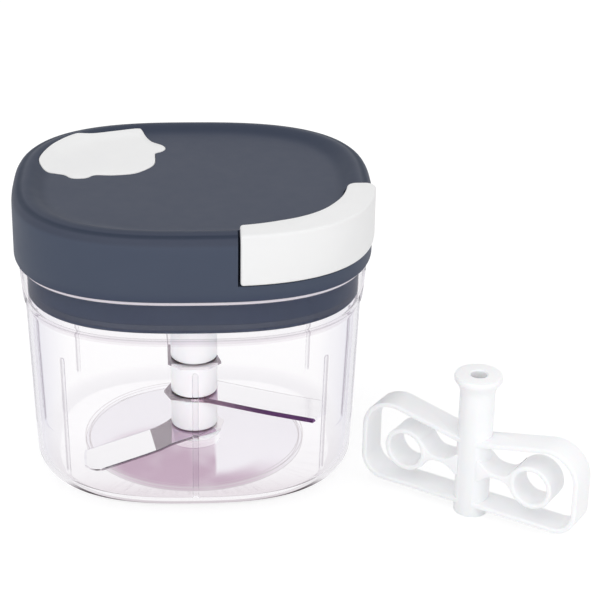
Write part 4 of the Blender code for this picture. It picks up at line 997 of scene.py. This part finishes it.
def make_pull_cord():
    """The stretch of cord from the eyelet to the knot in the handle, which lengthens as it is pulled."""
    start = lid_reach(HANDLE_DEPTH + HANDLE_GAP + POCKET_WALL) - CORD_START_BEHIND
    end = lid_reach(HANDLE_DEPTH) + CORD_END_SUNK
    axis = pull_point(1.0, 0.0)
    side = Vector((-axis.y, axis.x, 0.0))
    middles = [pull_point(start + (end - start) * step / CORD_STEPS) for step in range(CORD_STEPS + 1)]
    braid = tube(middles, side, Vector((0.0, 0.0, 1.0)), CORD_RADIUS, 16)
    stretch = make_object("pull_cord_braid", braid)
    piece(stretch, None, "cord", cord, "pull_cord")
    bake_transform(stretch)


# Hub and blades


def tier(bottom, top, inner):
    """A hub tier's outline: round lower edge, slight draft, small upper edge."""
    profile = [(inner, bottom), (HUB_RADIUS - HUB_EDGE, bottom)]
    for turn in (22.5, 45.0, 67.5, 90.0):
        a = radians(turn)
        profile.append((HUB_RADIUS - HUB_EDGE * (1.0 - sin(a)), bottom + HUB_EDGE * (1.0 - cos(a))))
    profile += [(HUB_RADIUS - 0.03, top - 0.25), (HUB_RADIUS - 0.25, top), (inner, top)]
    return profile


def make_hub():
    bore = PIN_RADIUS + GAP
    wide = HUB_FLANGE_RADIUS
    profile = [(bore, HUB_BOTTOM), (wide - 0.3, HUB_BOTTOM), (wide, HUB_BOTTOM + 0.3)]
    profile += [(wide, HUB_FLANGE_TOP - 0.5), (wide - 0.5, HUB_FLANGE_TOP), (HUB_CORE_RADIUS, HUB_FLANGE_TOP)]
    profile += [(HUB_CORE_RADIUS, HUB_CORE_TOP), (bore, HUB_CORE_TOP)]
    piece(make_object("hub_foot", lathe(profile)), "blades", "white", white, "hub_base")
    sleeve = HUB_CORE_RADIUS + GAP
    for name, node, below, above in (("hub_tier_low", "hub_spacer_lower", 0, 1),
                                     ("hub_tier_mid", "hub_spacer_middle", 1, 2)):
        low = BLADE_LEVELS[below] + BLADE_THICKNESS + GAP
        high = BLADE_LEVELS[above] - GAP
        piece(make_object(name, lathe(tier(low, high, sleeve))), "blades", "white", white, node)
    low = BLADE_LEVELS[2] + BLADE_THICKNESS + GAP
    profile = tier(low, HUB_TOP, sleeve)[:-1]
    profile += [(0.0, HUB_TOP), (0.0, HUB_CORE_TOP + GAP), (sleeve, HUB_CORE_TOP + GAP)]
    head = make_object("hub_tier_top", lathe(profile))
    flats = DRIVE_FLAT_RADIUS + GAP
    cut(head, loft([hex_ring(flats, HUB_TOP - HUB_SOCKET_DEPTH), hex_ring(flats, HUB_TOP + CUT_PAST)]))
    piece(head, "blades", "white", white, "hub_head")


def smoothstep(value, low, high):
    t = min(max((value - low) / (high - low), 0.0), 1.0)
    return t * t * (3.0 - 2.0 * t)


def blade_edges(distance, reach, tip_cut):
    """(trailing, leading) offsets of the blade's sides at a distance from the hub's axis."""
    root = BLADE_ROOT_HALF
    corner_end = BLADE_TAIL_CORNER - BLADE_TAIL
    if distance <= corner_end:
        half = root + distance - corner_end
        return -half, half
    if distance <= HUB_RADIUS:
        share = (distance - corner_end) / (HUB_RADIUS - corner_end)
        return -(root + share * (BLADE_TRAILING - root)), root + share * (BLADE_LEADING - root)
    trailing = -BLADE_TRAILING
    leading = BLADE_LEADING
    corner = reach - BLADE_TRAILING / 2
    if distance > corner:
        share = (distance - corner) / (reach - corner)
        trailing = -BLADE_TRAILING + BLADE_TRAILING * 0.55 * (1.0 - sqrt(max(1.0 - share ** 2, 0.0)))
    lead_corner = reach - 1.0 - tip_cut
    if distance > lead_corner:
        share = (distance - lead_corner) / (reach - lead_corner)
        leading = BLADE_LEADING - (BLADE_LEADING + BLADE_TRAILING * 0.3) * share ** 1.2
    return trailing, max(leading, trailing + 0.5)


def make_blade(name, node, azimuth, level, reach, tip_cut, bend, slant, ground, reflection_zones):
    """A flat steel blade, cranked near the hub along a slanted bend and ground on its leading side."""
    turn = radians(azimuth)
    along = Vector((cos(turn), sin(turn)))
    leading = Vector((sin(turn), -cos(turn)))
    tip = sqrt(reach ** 2 - (BLADE_TRAILING / 2) ** 2)
    distances = [-BLADE_TAIL, BLADE_TAIL_CORNER - BLADE_TAIL, -2.0, 2.0, 6.0, HUB_RADIUS]
    distances += [9.2, 10.4, 11.6, 12.8, 14.0, 15.2, 16.4, 17.6, 20.0, 26.0, 32.0, 36.0]
    last = reach - BLADE_TRAILING / 2
    for share in (-0.6, -0.3, 0.0, 0.2, 0.4, 0.6, 0.75, 0.87, 0.95, 1.0):
        distances.append(last + (tip - last) * share)
    rings = []
    for distance in distances:
        trail, lead = blade_edges(distance, tip, tip_cut)
        grind = 0.1 + (BLADE_GRIND - 0.1) * smoothstep(distance, 2.0, BLADE_GRIND_END)
        grind = min(grind, (lead - trail) * 0.6)
        section = [(trail + 0.15, 0.0), (lead - 0.05, 0.0), (lead, 0.12), (lead - 0.05, 0.22)]
        section += [(lead - grind, BLADE_THICKNESS), (trail + 0.15, BLADE_THICKNESS)]
        section += [(trail, BLADE_THICKNESS - 0.15), (trail, 0.15)]
        points = []
        for offset, rise in section:
            drop = BLADE_DROP * smoothstep(distance + slant * offset, bend[0], bend[1])
            spot = along * distance + leading * offset
            points.append(Vector((spot.x, spot.y, level + rise - drop)))
        rings.append(points)
    blade = make_object(name, loft(rings))
    high = level + BLADE_THICKNESS + CUT_PAST
    cut(blade, cylinder(HUB_CORE_RADIUS + GAP, level - CUT_PAST, high, 40))
    finish = blade_steel(name + "_steel", turn, ground, reflection_zones)
    piece(blade, "blades", "blade", finish, node, smooth=BLADE_SMOOTH_ANGLE)


def make_blades():
    low, middle, high = BLADE_LEVELS
    # Colours of the painted reflections at each blade's root.
    pale_reflection = (0.85, 0.82, 0.84)
    mauve_reflection = (0.62, 0.5, 0.6)
    dark_reflection = (0.36, 0.32, 0.35)
    make_blade("blade_low", "blade_lower", 213.0, low, 46.8, 4.5, (9.6, 17.6), 0.5, 0.25,
               ((-3.0, 0.0, pale_reflection), (9.5, 0.65, mauve_reflection), (17.7, 0.45, dark_reflection)))
    make_blade("blade_mid", "blade_middle", -22.0, middle, 48.0, 0.5, (-2.0, 34.0), 0.0, 1.6,
               ((1.5, -0.39, dark_reflection), (8.8, -0.39, mauve_reflection)))
    make_blade("blade_high", "blade_upper", 92.0, high, 48.0, 3.0, (8.6, 14.5), 0.0, 0.25,
               ((-6.2, 0.0, pale_reflection), (9.5, 0.0, dark_reflection)))


# Whisk


def whisk_point(s, depth, z):
    x = WHISK_PLACE[0] + s * cos(WHISK_TURN) - depth * sin(WHISK_TURN)
    y = WHISK_PLACE[1] + s * sin(WHISK_TURN) + depth * cos(WHISK_TURN)
    return Vector((x, y, z))


def rounded_path(corners, steps=10):
    """A closed path through (s, z, radius) corners, each rounded by its radius."""
    points = []
    count = len(corners)
    for index, (s, z, radius) in enumerate(corners):
        corner = Vector((s, z))
        before = (Vector(corners[index - 1][:2]) - corner).normalized()
        after = (Vector(corners[(index + 1) % count][:2]) - corner).normalized()
        if radius == 0.0:
            points.append(corner)
            continue
        half = before.angle(after) / 2
        middle = (before + after).normalized()
        centre = corner + middle * radius / sin(half)
        start = corner + before * radius / tan(half) - centre
        end = corner + after * radius / tan(half) - centre
        for step in range(steps + 1):
            points.append(centre + start.lerp(end, step / steps).normalized() * radius)
    return points


def strip_section(thickness, depth, edge=0.55):
    """A rounded rectangle of (inward, depth) points across a ribbon."""
    half = depth / 2
    points = []
    for inward, side, start in ((edge, -half + edge, 180.0), (thickness - edge, -half + edge, 270.0),
                                (thickness - edge, half - edge, 0.0), (edge, half - edge, 90.0)):
        for turn in (0.0, 30.0, 60.0, 90.0):
            a = radians(start + turn)
            points.append((inward + edge * cos(a), side + edge * sin(a)))
    return points


def ribbon(path):
    section = strip_section(WHISK_RIBBON, WHISK_DEPTH)
    count = len(path)
    rings = []
    for index, point in enumerate(path):
        before = (point - path[index - 1]).normalized()
        after = (path[(index + 1) % count] - point).normalized()
        tangent = (before + after).normalized()
        inward = Vector((-tangent.y, tangent.x)) / max(tangent.dot(before), 0.5)
        ring = []
        for step_in, side in section:
            spot = point + inward * step_in
            ring.append(whisk_point(spot.x, side, spot.y))
        rings.append(ring)
    return loft(rings, closed=True)


def whisk_loop(side):
    path = rounded_path(WHISK_LOOP)
    if side < 0:
        path = [Vector((-point.x, point.y)) for point in path][::-1]
    return ribbon(path)


def whisk_ring(side):
    centre = Vector((side * WHISK_RING_REACH, WHISK_RING_HEIGHT))
    return ribbon([centre + WHISK_RING_RADIUS * Vector((cos(a), sin(a))) for a in even_angles(56)])


def whisk_web(side):
    """The web from the post to a ring, flared into both."""
    half_depth = WHISK_DEPTH / 2 - 0.2
    start = WHISK_POST_RADIUS * 0.6
    end = WHISK_RING_REACH - WHISK_RING_RADIUS + 1.6
    rings = []
    steps = 22
    for index in range(steps + 1):
        s = start + (end - start) * index / steps
        near_post = max(0.0, 1.0 - (s - WHISK_POST_RADIUS) / 4.0)
        near_ring = max(0.0, 1.0 - (end - 0.7 - s) / 4.6)
        half = WHISK_RIBBON / 2 + 1.7 * min(near_post, 1.3) ** 2 + 3.0 * min(near_ring, 1.15) ** 2.2
        ring = []
        for inward, across in strip_section(2.0 * half, 2.0 * half_depth):
            ring.append(whisk_point(side * s, across, WHISK_RING_HEIGHT - half + inward))
        rings.append(ring)
    return loft(rings)


def make_whisk():
    post = WHISK_POST_RADIUS
    flange = WHISK_FLANGE_RADIUS
    top = WHISK_HEIGHT
    profile = [(WHISK_BORE, 0.0), (post - 0.5, 0.0), (post - 0.15, 0.15), (post, 0.5)]
    profile += [(post + wider, z) for wider, z in WHISK_FLARE]
    profile += [(flange, WHISK_FLANGE_BOTTOM), (flange, top - 0.6), (flange - 0.2, top - 0.15)]
    profile += [(flange - 0.7, top), (WHISK_BORE + 0.4, top), (WHISK_BORE, top - 0.4)]
    whisk = make_object("whisk_insert", lathe(profile, 64, WHISK_PLACE))
    for part in (whisk_loop, whisk_web, whisk_ring):
        combine(whisk, merge([part(-1), part(1)]), "UNION")
    cut(whisk, cylinder(WHISK_BORE, -CUT_PAST, WHISK_HEIGHT + CUT_PAST, 64, WHISK_PLACE))
    piece(whisk, "whisk", "white", whisk_white, "whisk")


def dress_nodes():
    """Give the CAD solids that stay their own materials."""
    chosen = {
        "bowl_pivot_pin": steel, "reel_axle": steel, "cord_eyelet": steel, "recoil_spring": spring_steel,
        "shaft_bush": white, "cord_reel": white, "spring_cap": white, "drive_shaft": white,
        "cord_lead": cord, "cord_winding": cord, "cord_knot": cord,
    }
    for name, material in chosen.items():
        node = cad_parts[name]
        if not node.material_slots:
            node.data.materials.append(material)
        for slot in node.material_slots:
            slot.material = material


# Studio


def make_floor():
    bm = bmesh.new()
    bm.faces.new([bm.verts.new((x, y, 0.0)) for x, y in rectangle(0.0, 0.0, FLOOR_HALF, FLOOR_HALF)])
    floor = make_object("studio_floor", bm)
    s = Shader("studio_floor")
    s.put(Base_Color=(0.85, 0.85, 0.85, 1.0), Roughness=0.9, Specular_IOR_Level=0.0)
    path = s.node("ShaderNodeLightPath").outputs
    sent_on = s.compute(path["Is Glossy Ray"], path["Is Transmission Ray"], "MAXIMUM")
    surface = s.bsdf.outputs[0]
    for share, shade, glow in ((path["Is Camera Ray"], 0.34, 0.76), (sent_on, 0.14, 0.92)):
        seen = s.node("ShaderNodeBsdfPrincipled")
        s.feed(seen, Base_Color=(shade, shade, shade, 1.0), Roughness=1.0, Specular_IOR_Level=0.0,
               Emission_Color=(1.0, 1.0, 1.0, 1.0), Emission_Strength=glow)
        surface = s.choose(share, surface, seen.outputs[0])
    s.feed(s.output, Surface=surface)
    floor.data.materials.append(s.material)


def make_world():
    world = bpy.data.worlds.new("studio")
    bpy.context.scene.world = world
    world.use_nodes = True
    s = Nodes(world.node_tree)
    path = s.node("ShaderNodeLightPath").outputs
    seen = path["Is Camera Ray"]
    for name in ("Is Glossy Ray", "Is Transmission Ray"):
        seen = s.compute(seen, path[name], "MAXIMUM")
    s.feed(s.tree.nodes["Background"], Color=(1.0, 1.0, 1.0, 1.0), Strength=s.spread(seen, 0.82, 1.0))


def make_lamp(name, place, size, power):
    lamp = bpy.data.lights.new(name, "AREA")
    lamp.shape = "DISK"
    lamp.size = size
    lamp.energy = power
    obj = bpy.data.objects.new(name, lamp)
    obj.location = place
    aim = Vector(LAMPS_AIM) - Vector(place)
    obj.rotation_euler = aim.to_track_quat("-Z", "Y").to_euler()
    bpy.context.scene.collection.objects.link(obj)


def make_camera():
    camera = bpy.data.cameras.new("camera")
    camera.lens = CAMERA_LENS
    camera.sensor_width = 36.0
    obj = bpy.data.objects.new("camera", camera)
    right = Vector((0.9980626, -0.05975719, 0.01732437))
    up = Vector((0.0096454, 0.42368758, 0.90575703))
    back = Vector((-0.06146562, -0.90383511, 0.42344311))
    turn = Matrix((right, up, back)).transposed().to_4x4()
    obj.matrix_world = Matrix.Translation(Vector(CAMERA_PLACE) * MM) @ turn
    bpy.context.scene.collection.objects.link(obj)
    bpy.context.scene.camera = obj


make_bowl()
make_lid()
make_lid_base()
make_screws()
make_handle()
make_pull_cord()
make_hub()
make_blades()
make_whisk()
dress_nodes()
make_floor()
make_world()
make_lamp("key", (-0.35, -0.45, 0.9), 0.7, 1.3)
make_lamp("fill", (0.6, -0.6, 0.4), 0.8, 0.8)
make_lamp("front", (-0.15, -1.0, 0.22), 0.7, 1.6)
make_camera()
bpy.context.scene.view_settings.view_transform = "Standard"
